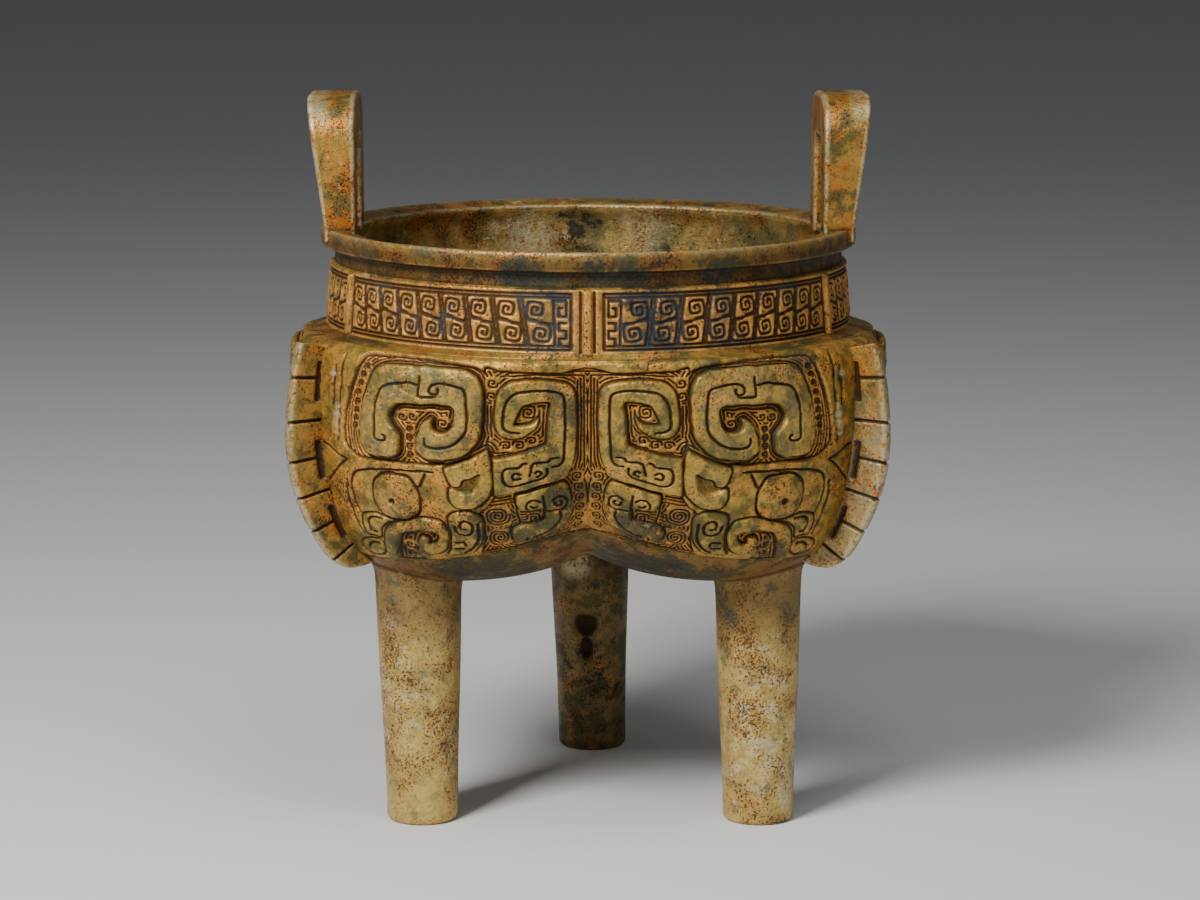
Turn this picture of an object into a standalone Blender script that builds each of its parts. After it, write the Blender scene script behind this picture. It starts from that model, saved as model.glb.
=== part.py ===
"""A bronze ding: a cooking tripod with three lobes, two loop handles, three notched
flanges and three mask faces in relief. The whole vessel is one casting, so it is one
object. Lengths are millimetres until a mesh is made, and the mesh is in metres."""

import math

import bpy
import numpy as np
from mathutils import Vector
from mathutils.geometry import delaunay_2d_cdt

MM = 0.001

# Driving dimensions, in millimetres
RIM_TOP_Z = 177.0
RIM_LIP_DROP = 1.7
RIM_OUTER_R = 77.6
RIM_INNER_R = 69.0
RIM_HEIGHT = 5.7
NECK_OUTER_R = 74.9
NECK_INNER_R = 71.2
BAND_TOP_R, BAND_TOP_Z = 76.3, 166.0
BAND_FOOT_R, BAND_FOOT_Z = 77.7, 148.2
WALL = 3.5
OVAL = 0.022
OVAL_LOW_Z, OVAL_FULL_Z = 120.0, 148.0
HANDLE_SWELL, HANDLE_SWELL_DEG = 1.2, 16.0

LEG_AZIMUTHS = (90.0, 210.0, 330.0)
LEG_CIRCLE_R = 58.6
LEG_FOOT_R, LEG_TOP_R, LEG_TOP_Z = 10.6, 12.9, 72.0
LEG_FOOT_ROUND = 1.2
LEG_EMBED = 1.8
LEG_LEANS = ((1.0, 0.0), (0.7, 0.0), (0.5, 0.0))
LEG_SIDES = 18
LEG_ROOT_STATION = 8.2

FLANGE_THICK = 4.0
FLANGE_NOTCH_DEPTH, FLANGE_NOTCH_WIDTH = 0.6, 1.0
FLANGE_EMBED = 1.8

HANDLE_INNER_X = 69.0
HANDLE_FOOT_X, HANDLE_TOP_X = 78.2, 83.7
HANDLE_TOP_Z = 216.5
HANDLE_WIDTH, HANDLE_BAR = 41.0, 10.5
HANDLE_CORNER, HANDLE_INNER_CORNER = 13.0, 5.0
HANDLE_CORNER_STEPS = 5
HANDLE_CROWN = 13.0
HANDLE_EMBED = 3.4
HANDLE_TURNS = {0.0: 2.5, 180.0: 0.0}

# The origin is the middle of the foot of the bounding box, so the vessel's own axis,
# which the shapes are drawn about, stands this far from it.
AXIS_Y = -11.065

RELIEF_HEIGHT = 1.9
RELIEF_BEVEL = 0.8
BAND_RELIEF = 0.7
RIB_HALF_WIDTH, RIB_RISE = 1.0, 1.3
RIB_EMBED, RIB_SHORT = 1.2, 0.6
RIB_AZIMUTHS = (30.0, 90.0, 150.0, 210.0, 270.0, 330.0)

# The outer wall below the band is drawn as two meridians, each a list of (radius, height):
# one down the middle of a lobe and one down the cleft between two lobes.
LOBE_MERIDIAN = (
    (BAND_FOOT_R, BAND_FOOT_Z), (81.5, 147.5), (86.0, 146.2), (88.5, 143.2), (89.6, 134.0),
    (89.8, 124.0), (89.0, 113.0), (86.9, 102.0), (83.3, 92.3), (78.4, 84.6), (70.5, 78.4),
    (60.0, 74.8), (46.0, 73.8), (24.0, 75.6), (0.0, 78.5),
)
CLEFT_MERIDIAN = (
    (BAND_FOOT_R, BAND_FOOT_Z), (77.7, 146.7), (77.4, 145.1), (76.9, 143.2), (75.2, 134.0),
    (72.8, 124.8), (69.6, 115.4), (65.4, 106.6), (60.6, 99.4), (55.5, 94.1), (47.5, 88.0),
    (38.0, 83.4), (28.0, 80.8), (15.0, 79.3), (0.0, 78.5),
)
SHEET_TOP_STATION, SHEET_ZERO_STATION, SHEET_FOOT_STATION = 1, 3, 9
LAST_STATION = len(LOBE_MERIDIAN) - 1
UNDER_STATIONS = (SHEET_FOOT_STATION, 9.8, 10.8, 12.2, LAST_STATION)
INNER_STATIONS = (LAST_STATION, 12.0, 10.4, 9.2, 7.8, 5.8, 3.8, 2.0)

# A level section of the bowl is three equal circles. These two set how round a lobe is,
# and the third softens the cleft, in degrees.
LOBE_OFFSET, LOBE_ROUND = 32.0, 56.0
CLEFT_SOFTNESS = 3.0

# Half a mask is drawn flat on a sheet, from the flange to the cleft and from the shoulder down.
SHEET_WIDTH, SHEET_HEIGHT = 88.0, 66.0
SHEET_MARGIN = 1.3
HALF_ANGLE = 60.0
COLUMNS = 10

# Each raised figure is a ribbon: (across, down, half width) along its middle.
HORN = (
    (23.2, 20.9, 7.7), (21.9, 14.0, 5.7), (25.0, 7.2, 6.6), (31.0, 5.3, 6.7), (38.0, 4.9, 6.6),
    (45.0, 5.5, 6.5), (49.8, 8.8, 6.4), (51.4, 15.0, 5.7), (50.0, 20.5, 6.0), (43.5, 21.7, 7.6),
)
UPPER_DRAGON = (
    (72.3, 15.8, 1.2), (69.5, 18.8, 2.4), (66.0, 18.9, 2.7), (63.5, 16.0, 3.1), (63.4, 11.5, 3.1),
    (65.3, 7.6, 3.5), (70.0, 6.0, 3.7), (75.5, 6.2, 3.8), (79.7, 8.8, 4.1), (80.3, 15.0, 4.3),
    (79.9, 23.0, 4.5), (78.3, 30.0, 5.2), (72.0, 33.6, 5.9), (65.0, 34.8, 6.3),
)
EAR_LOBE = ((56.4, 30.0, 1.3), (54.8, 35.5, 2.8), (52.2, 41.0, 4.0), (48.2, 43.3, 4.4))
EAR_ROOT = ((55.3, 31.0, 1.6), (49.5, 33.8, 2.9), (46.4, 35.4, 2.4))
EYE = ((27.6, 41.4, 7.0), (29.2, 42.6, 7.0))
JAW = (
    (21.0, 63.0, 2.0), (23.0, 58.0, 2.5), (26.0, 54.0, 2.3), (32.0, 52.3, 2.0), (37.5, 52.7, 2.1),
    (40.7, 55.4, 1.9), (40.6, 59.0, 2.0), (38.0, 60.8, 2.0), (35.6, 59.4, 2.4),
)
CHEEK = ((48.7, 52.2, 3.9), (48.9, 55.5, 4.3), (46.8, 59.6, 3.8), (42.0, 63.0, 1.8))
LOWER_DRAGON = (
    (67.2, 46.8, 2.7), (71.0, 46.0, 3.7), (76.0, 45.4, 4.2), (78.6, 48.5, 4.1), (78.0, 54.0, 4.6),
    (75.5, 58.6, 3.8), (71.0, 60.6, 3.0), (67.8, 61.0, 2.6),
)
FIGURES = (HORN, UPPER_DRAGON, EAR_LOBE, EAR_ROOT, EYE, JAW, CHEEK, LOWER_DRAGON)

BAND_COLUMNS = 9
BAND_PITCH_DEG = 5.95
BAND_FIRST_DEG = 3.9
BAND_LEAN_DEG = 1.0
BAND_BLOCK_WIDTH_DEG = 4.3
BAND_BLOCK_TOP, BAND_BLOCK_FOOT = 0.17, 0.86
BAND_BLOCK_BEVEL = (0.45, 0.6)
SAME_POINT = 0.001

FLANGE_OUTLINE = (
    (97.0, 147.6), (98.9, 140.0), (100.2, 131.0), (100.9, 122.0), (100.6, 113.5), (99.0, 105.0),
    (96.2, 97.0), (92.4, 89.6), (88.2, 83.4), (83.6, 79.9), (78.6, 79.6), (74.6, 80.4),
)
FLANGE_TOP_STATION = 1.9
FLANGE_NOTCHES = (0.125, 0.285, 0.43, 0.565, 0.70, 0.835)
FLANGE_LAST_BEND = 0.94

BRONZE_COLOUR = (0.33, 0.22, 0.10, 1.0)
BRONZE_ROUGHNESS, BRONZE_METALLIC = 0.55, 0.35


def clear_scene():
    for old in list(bpy.data.objects):
        bpy.data.objects.remove(old, do_unlink=True)


def smooth_path(points, steps):
    """Points on a Catmull-Rom curve through the given points, with this many steps a span."""
    knots = np.asarray(points, float)
    padded = np.vstack([2 * knots[0] - knots[1], knots, 2 * knots[-1] - knots[-2]])
    at = np.linspace(0, 1, steps, endpoint=False)[:, None]
    spans = []
    for before, start, end, after in zip(padded, padded[1:], padded[2:], padded[3:]):
        bend = 2 * before - 5 * start + 4 * end - after
        twist = 3 * start - before - 3 * end + after
        spans.append(0.5 * (2 * start + (end - before) * at + bend * at**2 + twist * at**3))
    return np.vstack(spans + [knots[-1:]])


CURVE_STEPS = 40
LOBE_CURVE = smooth_path(LOBE_MERIDIAN, CURVE_STEPS)
CLEFT_CURVE = smooth_path(CLEFT_MERIDIAN, CURVE_STEPS)


def on_curve(curve, station):
    at = np.asarray(station, float) * CURVE_STEPS
    index = np.arange(len(curve))
    return np.stack([np.interp(at, index, curve[:, i]) for i in (0, 1)], axis=-1)


def inward(curve):
    """The same curve moved into the metal by the thickness of the wall."""
    along = np.gradient(curve, axis=0)
    along[-1] = (-1.0, 0.0)
    length = np.hypot(along[:, 0], along[:, 1])[:, None]
    across = np.stack([along[:, 1], -along[:, 0]], axis=1) / length
    return np.maximum(curve + across * WALL, (0.0, -np.inf))


LOBE_INNER = inward(LOBE_CURVE)
CLEFT_INNER = inward(CLEFT_CURVE)


def lobe_share(azimuth):
    """1 over the middle of a lobe and 0 in a cleft, as three circles in a ring would give."""
    from_lobe = np.abs((np.asarray(azimuth, float) - LEG_AZIMUTHS[0] + HALF_ANGLE) % 120 - HALF_ANGLE)
    from_cleft = np.hypot(HALF_ANGLE - from_lobe, CLEFT_SOFTNESS) - CLEFT_SOFTNESS
    from_cleft *= HALF_ANGLE / (math.hypot(HALF_ANGLE, CLEFT_SOFTNESS) - CLEFT_SOFTNESS)
    turn = np.radians(HALF_ANGLE - from_cleft)
    reach = LOBE_OFFSET * np.cos(turn) + np.sqrt(LOBE_ROUND**2 - (LOBE_OFFSET * np.sin(turn)) ** 2)
    least = LOBE_OFFSET / 2 + math.sqrt(LOBE_ROUND**2 - 0.75 * LOBE_OFFSET**2)
    return (reach - least) / (LOBE_OFFSET + LOBE_ROUND - least)


def ring_point(azimuth, radius, height, swell=0.0):
    """A point of the vessel, with the mouth's slight oval and the swell under a handle."""
    turn = np.radians(azimuth)
    share = np.clip((height - OVAL_LOW_Z) / (OVAL_FULL_Z - OVAL_LOW_Z), 0, 1)
    off_handle = np.degrees(np.arcsin(np.abs(np.sin(turn))))
    bulge = swell * np.exp(-((off_handle / HANDLE_SWELL_DEG) ** 2))
    reach = radius * (1 + OVAL * share * np.cos(2 * turn)) + bulge
    return np.stack([reach * np.cos(turn), reach * np.sin(turn), height + 0 * reach], axis=-1)


def wall_point(azimuth, station, lobe=LOBE_CURVE, cleft=CLEFT_CURVE):
    share = lobe_share(azimuth)[..., None]
    profile = on_curve(cleft, station) * (1 - share) + on_curve(lobe, station) * share
    return ring_point(azimuth, profile[..., 0], profile[..., 1])


def sheet_station(down):
    """The station on the meridians of a point this far down the sheet."""
    fine = np.linspace(SHEET_TOP_STATION, SHEET_FOOT_STATION, 400)
    middle = 0.7 * on_curve(LOBE_CURVE, fine) + 0.3 * on_curve(CLEFT_CURVE, fine)
    steps = np.hypot(*np.diff(middle, axis=0).T)
    length = np.concatenate([[0.0], np.cumsum(steps)])
    zero = np.interp(SHEET_ZERO_STATION, fine, length)
    scale = SHEET_HEIGHT / (length[-1] - zero)
    return np.interp(down, (length - zero) * scale, fine), -zero * scale


SHEET_TOP = float(sheet_station(0.0)[1])


def ribbon_distance(across, down, ribbon):
    """Distance to a ribbon's edge on the sheet, negative inside it."""
    path = smooth_path(ribbon, 6)
    best = np.full(across.shape, np.inf)
    for start, end in zip(path, path[1:]):
        step = end[:2] - start[:2]
        share = (across - start[0]) * step[0] + (down - start[1]) * step[1]
        share = np.clip(share / max(step @ step, 1e-9), 0, 1)
        gap = np.hypot(across - start[0] - share * step[0], down - start[1] - share * step[1])
        best = np.minimum(best, gap - start[2] - share * (end[2] - start[2]))
    return best


def figures_distance(across, down):
    nearest = np.full(across.shape, np.inf)
    for ribbon in FIGURES:
        nearest = np.minimum(nearest, ribbon_distance(across, down, ribbon))
    edge = np.minimum(np.minimum(across, SHEET_WIDTH - across), SHEET_HEIGHT - down) - SHEET_MARGIN
    return np.maximum(nearest, -edge)


def contours(values, level, xs, ys):
    """Closed level lines of a grid of values, each a list of points."""
    inside = values < level
    links = {}
    spots = {}

    def spot(a, b):
        key = (a, b) if a < b else (b, a)
        if key not in spots:
            low, high = values[key[0]], values[key[1]]
            share = (level - low) / (high - low)
            start = np.array((xs[key[0][1]], ys[key[0][0]]))
            spots[key] = start + share * (np.array((xs[key[1][1]], ys[key[1][0]])) - start)
        return key

    rows, columns = values.shape
    mixed = inside[:-1, :-1].astype(int) + inside[1:, :-1] + inside[:-1, 1:] + inside[1:, 1:]
    for i, j in zip(*np.nonzero((mixed > 0) & (mixed < 4))):
        corners = ((i, j), (i, j + 1), (i + 1, j + 1), (i + 1, j))
        crossed = [
            spot(a, b) for a, b in zip(corners, corners[1:] + corners[:1]) if inside[a] != inside[b]
        ]
        pairs = [crossed] if len(crossed) == 2 else [crossed[:2], crossed[2:]]
        for a, b in pairs:
            links.setdefault(a, []).append(b)
            links.setdefault(b, []).append(a)
    loops = []
    unused = set(links)
    while unused:
        start = unused.pop()
        loop = [start]
        here = start
        while True:
            onward = [n for n in links[here] if n in unused]
            if not onward:
                break
            here = onward[0]
            unused.discard(here)
            loop.append(here)
        loops.append(np.array([spots[key] for key in loop]))
    return loops


def thinned(loop, slack):
    """A closed loop with only the points that keep it within this distance."""

    def keep(first, last):
        if last - first < 2:
            return []
        chord = ring[last] - ring[first]
        size = max(np.hypot(*chord), 1e-9)
        away = ring[first + 1 : last] - ring[first]
        gaps = np.abs(away[:, 0] * chord[1] - away[:, 1] * chord[0]) / size
        worst = int(np.argmax(gaps))
        if gaps[worst] < slack:
            return []
        middle = first + 1 + worst
        return keep(first, middle) + [middle] + keep(middle, last)

    ring = np.vstack([loop, loop[:1]])
    half = int(np.argmax(np.hypot(*(ring - ring[0]).T)))
    index = [0] + keep(0, half) + [half] + keep(half, len(ring) - 1)
    return ring[index]


class Shell:
    """Collects triangles whose corners are welded where they meet."""

    def __init__(self):
        self.points = []
        self.index = {}
        self.faces = []

    def corner(self, point):
        key = tuple(round(float(v), 3) for v in point)
        if key not in self.index:
            self.index[key] = len(self.points)
            self.points.append(key)
        return self.index[key]

    def face(self, *points):
        corners = [self.corner(p) for p in points]
        distinct = list(dict.fromkeys(corners))
        if len(distinct) > 2:
            self.faces.append(distinct)

    def rows(self, rows, closed=True, flip=False):
        """Skins neighbouring rows of points, each row running the same way."""
        for upper, lower in zip(rows, rows[1:]):
            count = len(upper)
            for i in range(count if closed else count - 1):
                j = (i + 1) % count
                quad = (upper[i], lower[i], lower[j], upper[j])
                self.face(*(reversed(quad) if flip else quad))

    def mesh(self, name):
        made = bpy.data.meshes.new(name)
        placed = [(x * MM, (y + AXIS_Y) * MM, z * MM) for x, y, z in self.points]
        made.from_pydata(placed, [], self.faces)
        made.update()
        return made


def patch(width, top, foot, rings, filler, edge_columns, edge_rows):
    """Triangles over a flat sheet whose outlines become edges. Returns points and faces."""
    points = []
    edges = []
    for x in np.linspace(0, width, edge_columns + 1):
        points += [(x, top), (x, foot)]
    for y in np.linspace(top, foot, edge_rows + 1)[1:-1]:
        points += [(0.0, y), (width, y)]
    for ring in rings:
        first = len(points)
        points += [tuple(p) for p in ring]
        edges += [(first + i, first + (i + 1) % len(ring)) for i in range(len(ring))]
    points += filler
    found = delaunay_2d_cdt([Vector(p) for p in points], edges, [], 0, 1e-6)
    return np.array([tuple(p) for p in found[0]]), found[2]


GRID_STEP = 0.5
OUTLINE_SLACK = 0.42
FILLER_STEP_U, FILLER_STEP_V = 8.8, 8.5
FILLER_GAP = 2.2
SHEET_ROWS = 8


def mask_patch():
    """One half mask: points on the sheet with their heights, and triangles."""
    xs = np.arange(0, SHEET_WIDTH + GRID_STEP, GRID_STEP)
    ys = np.arange(SHEET_TOP, SHEET_HEIGHT + GRID_STEP, GRID_STEP)
    across, down = np.meshgrid(xs, ys)
    distance = figures_distance(across, down)
    rings = []
    for level in (0.0, -RELIEF_BEVEL):
        rings += [thinned(loop, OUTLINE_SLACK) for loop in contours(distance, level, xs, ys)]
    rings = [ring for ring in rings if len(ring) > 3]
    us = np.linspace(0, SHEET_WIDTH, COLUMNS + 1)[1:-1]
    vs = np.linspace(SHEET_TOP, SHEET_HEIGHT, SHEET_ROWS + 1)[1:-1]
    grid_u, grid_v = (a.ravel() for a in np.meshgrid(us, vs))
    gap = figures_distance(grid_u, grid_v)
    clear = (gap > FILLER_GAP) | (gap < -RELIEF_BEVEL - FILLER_GAP)
    filler = [(float(u), float(v)) for u, v, ok in zip(grid_u, grid_v, clear) if ok]
    points, faces = patch(SHEET_WIDTH, SHEET_TOP, SHEET_HEIGHT, rings, filler, COLUMNS, SHEET_ROWS)
    depth = -figures_distance(points[:, 0], points[:, 1])
    raised = RELIEF_HEIGHT * (depth > RELIEF_BEVEL / 2)
    return points, raised, faces


def band_block(number):
    """The four corners of one slanting block of the band, in degrees and share of height."""
    middle = BAND_FIRST_DEG + number * BAND_PITCH_DEG
    half = BAND_BLOCK_WIDTH_DEG / 2
    top = middle - BAND_LEAN_DEG
    foot = middle + BAND_LEAN_DEG
    return np.array(
        [
            (top - half, BAND_BLOCK_TOP),
            (top + half, BAND_BLOCK_TOP),
            (foot + half, BAND_BLOCK_FOOT),
            (foot - half, BAND_BLOCK_FOOT),
        ]
    )


def band_patch():
    """Half a panel of the band: points in degrees and share of height, and triangles."""
    height = BAND_TOP_Z - BAND_FOOT_Z
    per_degree = math.radians(1) * BAND_TOP_R
    rings = []
    tops = []
    for number in range(BAND_COLUMNS):
        outer = band_block(number) * (per_degree, height)
        middle = outer.mean(axis=0)
        shrink = 1 - 2 * np.array(BAND_BLOCK_BEVEL) / np.ptp(outer, axis=0)
        inner = middle + (outer - middle) * shrink
        rings += [outer, inner]
        tops += [inner]
    width = HALF_ANGLE * per_degree
    points, faces = patch(width, 0.0, height, rings, [], COLUMNS, 1)
    raised = np.zeros(len(points))
    for inner in tops:
        apart = points[:, None] - inner[None]
        nearest = np.hypot(apart[..., 0], apart[..., 1]).min(axis=1)
        raised[nearest < SAME_POINT] = BAND_RELIEF
    return points / (per_degree, height), raised, faces


def lay_patch(shell, placed, faces):
    """Adds a patch six times, turned and mirrored about each flange."""
    for lobe in LEG_AZIMUTHS:
        for way in (1, -1):
            corners = placed(lobe, way)
            for face in faces:
                shell.face(*(corners[i] for i in (reversed(face) if way > 0 else face)))


def bowl_shell():
    shell = Shell()
    azimuths = np.arange(0, 360, HALF_ANGLE / COLUMNS)

    sheet, raised, faces = mask_patch()
    station = sheet_station(sheet[:, 1])[0]

    def mask_corners(lobe, way):
        azimuth = lobe + way * sheet[:, 0] / SHEET_WIDTH * HALF_ANGLE
        flat = wall_point(azimuth, station)
        beside = wall_point(azimuth + 0.5, station) - wall_point(azimuth - 0.5, station)
        below = wall_point(azimuth, station + 0.05) - wall_point(azimuth, station - 0.05)
        normal = np.cross(below, beside)
        normal /= np.linalg.norm(normal, axis=1)[:, None]
        return flat + normal * raised[:, None]

    lay_patch(shell, mask_corners, faces)

    strip, lifted, strip_faces = band_patch()

    def band_corners(lobe, way):
        azimuth = lobe + way * strip[:, 0]
        radius = BAND_TOP_R + (BAND_FOOT_R - BAND_TOP_R) * strip[:, 1] + lifted
        return ring_point(azimuth, radius, BAND_TOP_Z + (BAND_FOOT_Z - BAND_TOP_Z) * strip[:, 1])

    lay_patch(shell, band_corners, strip_faces)

    lip_z = RIM_TOP_Z - RIM_LIP_DROP
    under_z = RIM_TOP_Z - RIM_HEIGHT
    upper = [
        ring_point(azimuths, radius, height, swell)
        for radius, height, swell in (
            (NECK_INNER_R, under_z - 2.5, 0.0),
            (NECK_INNER_R - 0.4, under_z + 0.2, 0.0),
            (RIM_INNER_R + 0.3, lip_z - 1.8, 0.0),
            (RIM_INNER_R, lip_z, 0.0),
            (RIM_OUTER_R - 0.7, RIM_TOP_Z, HANDLE_SWELL),
            (RIM_OUTER_R, RIM_TOP_Z - 0.8, HANDLE_SWELL),
            (RIM_OUTER_R, under_z + 0.4, HANDLE_SWELL),
            (NECK_OUTER_R, under_z - 0.6, 0.0),
            (NECK_OUTER_R, BAND_TOP_Z + 0.9, 0.0),
            (BAND_TOP_R, BAND_TOP_Z, 0.0),
        )
    ]
    shell.rows(upper)
    shoulder = [wall_point(azimuths, station) for station in (0.0, 0.5, SHEET_TOP_STATION)]
    shell.rows(shoulder)
    under = [wall_point(azimuths, station) for station in UNDER_STATIONS]
    shell.rows(under)
    inner = [
        wall_point(azimuths, station, LOBE_INNER, CLEFT_INNER)
        for station in INNER_STATIONS
    ]
    shell.rows(inner + [ring_point(azimuths, NECK_INNER_R, BAND_FOOT_Z + 2.0), upper[0]])
    return shell


def leg_shell(azimuth, lean):
    """A tapering leg whose top follows the underside of its lobe, a little way into the metal."""
    shell = Shell()
    turn = math.radians(azimuth)
    middle = np.array((LEG_CIRCLE_R * math.cos(turn), LEG_CIRCLE_R * math.sin(turn)))
    around = np.radians(np.arange(LEG_SIDES) * 360 / LEG_SIDES)

    def level(height, radius):
        shift = np.array(lean) * (1 - height / LEG_TOP_Z)
        ring = middle + shift + radius * np.stack([np.cos(around), np.sin(around)], axis=1)
        return np.column_stack([ring, np.full(len(ring), height)])

    stations = np.linspace(LEG_ROOT_STATION, LAST_STATION, 300)

    def underside(x, y):
        wall = wall_point(np.full(stations.shape, math.degrees(math.atan2(y, x))), stations)
        reach = np.hypot(wall[:, 0], wall[:, 1])
        return float(np.interp(-math.hypot(x, y), -reach, wall[:, 2])) + LEG_EMBED

    top = level(LEG_TOP_Z, LEG_TOP_R)
    cap = np.array([(x, y, underside(x, y)) for x, y, _ in top])
    centre = (*middle, underside(*middle))
    rows = [
        level(0.0, LEG_FOOT_R - LEG_FOOT_ROUND),
        level(0.4, LEG_FOOT_R - 0.35),
        level(LEG_FOOT_ROUND, LEG_FOOT_R),
        cap,
    ]
    shell.rows(rows, flip=True)
    count = len(cap)
    for i in range(count):
        j = (i + 1) % count
        shell.face(cap[i], cap[j], centre)
    shell.faces.append([shell.corner(p) for p in rows[0]][::-1])
    return shell


def flange_stations(length):
    """Shares of the flange's length, with how deep the surface is cut there."""
    half = FLANGE_NOTCH_WIDTH / 2 / length
    shares = [(0.0, 0.0), (FLANGE_LAST_BEND, 0.0), (1.0, 0.0)]
    edges = (0.0,) + FLANGE_NOTCHES + (1.0,)
    for before, after in zip(edges, edges[1:]):
        shares += [((before + after) / 2, 0.0)]
    for notch in FLANGE_NOTCHES:
        shares += [(notch - half, 0.0), (notch, FLANGE_NOTCH_DEPTH), (notch + half, 0.0)]
    return sorted(shares)


def flange_shell(azimuth):
    """A fin on the middle of a lobe, with notches across its sides and outer edge."""
    shell = Shell()
    turn = math.radians(azimuth)
    outward = np.array((math.cos(turn), math.sin(turn), 0.0))
    aside = np.array((-math.sin(turn), math.cos(turn), 0.0))
    outer = smooth_path(FLANGE_OUTLINE, 12)
    length = np.concatenate([[0.0], np.cumsum(np.hypot(*np.diff(outer, axis=0).T))])
    rows = []
    for share, cut in flange_stations(length[-1]):
        r, z = (np.interp(share * length[-1], length, outer[:, i]) for i in (0, 1))
        nearest = int(np.argmin(np.hypot(LOBE_CURVE[:, 0] - r, LOBE_CURVE[:, 1] - z)))
        station = FLANGE_TOP_STATION if share == 0.0 else nearest / CURVE_STEPS
        root = on_curve(LOBE_CURVE, station)
        slope = on_curve(LOBE_CURVE, station + 0.05) - root
        root = root + np.array((slope[1], -slope[0])) / np.hypot(*slope) * FLANGE_EMBED
        reach = np.array((r, z)) - root
        r, z = root + reach * (1 - cut / np.hypot(*reach))
        half = FLANGE_THICK / 2 - cut
        corners = []
        for (cr, cz), side in ((root, -half), ((r, z), -half), ((r, z), half), (root, half)):
            corners.append(outward * cr + aside * side + np.array((0, 0, cz)))
        rows.append(corners)
    shell.rows(rows, flip=False)
    shell.faces.append([shell.corner(p) for p in rows[0]])
    shell.faces.append([shell.corner(p) for p in rows[-1]][::-1])
    return shell


def arch(width, top, corner, foot):
    """The outline of an upside-down U, from its foot on one side to that on the other."""
    half = width / 2
    points = [(-half, foot), (-half, (foot + top - corner) / 2)]
    for turn in np.linspace(math.pi, math.pi / 2, HANDLE_CORNER_STEPS + 1):
        y = -half + corner + corner * math.cos(turn)
        points.append((y, top - corner + corner * math.sin(turn)))
    mirrored = [(-y, z) for y, z in reversed(points)]
    return points + mirrored


def handle_shell(azimuth, twist):
    shell = Shell()
    foot = RIM_TOP_Z - HANDLE_EMBED
    inner_width = HANDLE_WIDTH - 2 * HANDLE_BAR
    outer = arch(HANDLE_WIDTH, HANDLE_TOP_Z, HANDLE_CORNER, foot)
    inner = arch(inner_width, HANDLE_TOP_Z - HANDLE_CROWN, HANDLE_INNER_CORNER, foot)
    turn = math.radians(azimuth)
    yaw = math.radians(twist)
    side = math.cos(turn)

    def place(x, y, z):
        offset = x - HANDLE_INNER_X
        xx = HANDLE_INNER_X + offset * math.cos(yaw) - y * math.sin(yaw)
        yy = offset * math.sin(yaw) + y * math.cos(yaw)
        return (xx * side, yy * side, z)

    def outer_x(z):
        rise = (z - RIM_TOP_Z) / (HANDLE_TOP_Z - RIM_TOP_Z)
        return HANDLE_FOOT_X + (HANDLE_TOP_X - HANDLE_FOOT_X) * max(rise, 0.0)

    rows = []
    for (oy, oz), (iy, iz) in zip(outer, inner):
        rows.append(
            [
                place(HANDLE_INNER_X, iy, iz),
                place(HANDLE_INNER_X, oy, oz),
                place(outer_x(oz), oy, oz),
                place(outer_x(iz), iy, iz),
            ]
        )
    shell.rows(rows, flip=True)
    shell.faces.append([shell.corner(p) for p in rows[0]][::-1])
    shell.faces.append([shell.corner(p) for p in rows[-1]])
    return shell


def rib_shell(azimuth):
    """A short upright bar across the band."""
    shell = Shell()
    turn = math.radians(azimuth)
    aside = np.array((-math.sin(turn), math.cos(turn), 0.0))
    rows = []
    top = (BAND_TOP_Z - RIB_SHORT, BAND_TOP_R)
    foot = (BAND_FOOT_Z + RIB_SHORT, BAND_FOOT_R)
    for height, radius in (top, foot):
        deep = ring_point(azimuth, radius - RIB_EMBED, height)
        proud = ring_point(azimuth, radius + RIB_RISE, height)
        half = aside * RIB_HALF_WIDTH
        rows.append([deep - half, proud - half * 0.75, proud + half * 0.75, deep + half])
    shell.rows(rows, flip=False)
    shell.faces.append([shell.corner(p) for p in rows[0]])
    shell.faces.append([shell.corner(p) for p in rows[-1]][::-1])
    return shell


def bronze():
    made = bpy.data.materials.new("patinated_bronze")
    made.use_nodes = True
    shader = made.node_tree.nodes["Principled BSDF"]
    shader.inputs["Base Color"].default_value = BRONZE_COLOUR
    shader.inputs["Roughness"].default_value = BRONZE_ROUGHNESS
    shader.inputs["Metallic"].default_value = BRONZE_METALLIC
    return made


def put(name, shell, helper=False):
    made = bpy.data.objects.new(name, shell.mesh(name))
    bpy.context.scene.collection.objects.link(made)
    if helper:
        made.hide_render = True
        made.display_type = "WIRE"
    return made


def build():
    clear_scene()
    ding = put("ding", bowl_shell())
    ding.data.materials.append(bronze())
    joined = []
    for azimuth, lean in zip(LEG_AZIMUTHS, LEG_LEANS):
        joined.append(put(f"join_leg_{azimuth:.0f}", leg_shell(azimuth, lean), True))
        joined.append(put(f"join_flange_{azimuth:.0f}", flange_shell(azimuth), True))
    for azimuth, twist in HANDLE_TURNS.items():
        joined.append(put(f"join_handle_{azimuth:.0f}", handle_shell(azimuth, twist), True))
    for azimuth in RIB_AZIMUTHS:
        joined.append(put(f"join_rib_{azimuth:.0f}", rib_shell(azimuth), True))
    for other in joined:
        union = ding.modifiers.new(other.name, "BOOLEAN")
        union.operation = "UNION"
        union.solver = "EXACT"
        union.object = other
    ding.data.shade_smooth()
    ding.data.set_sharp_from_angle(angle=math.radians(35))


build()
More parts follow.
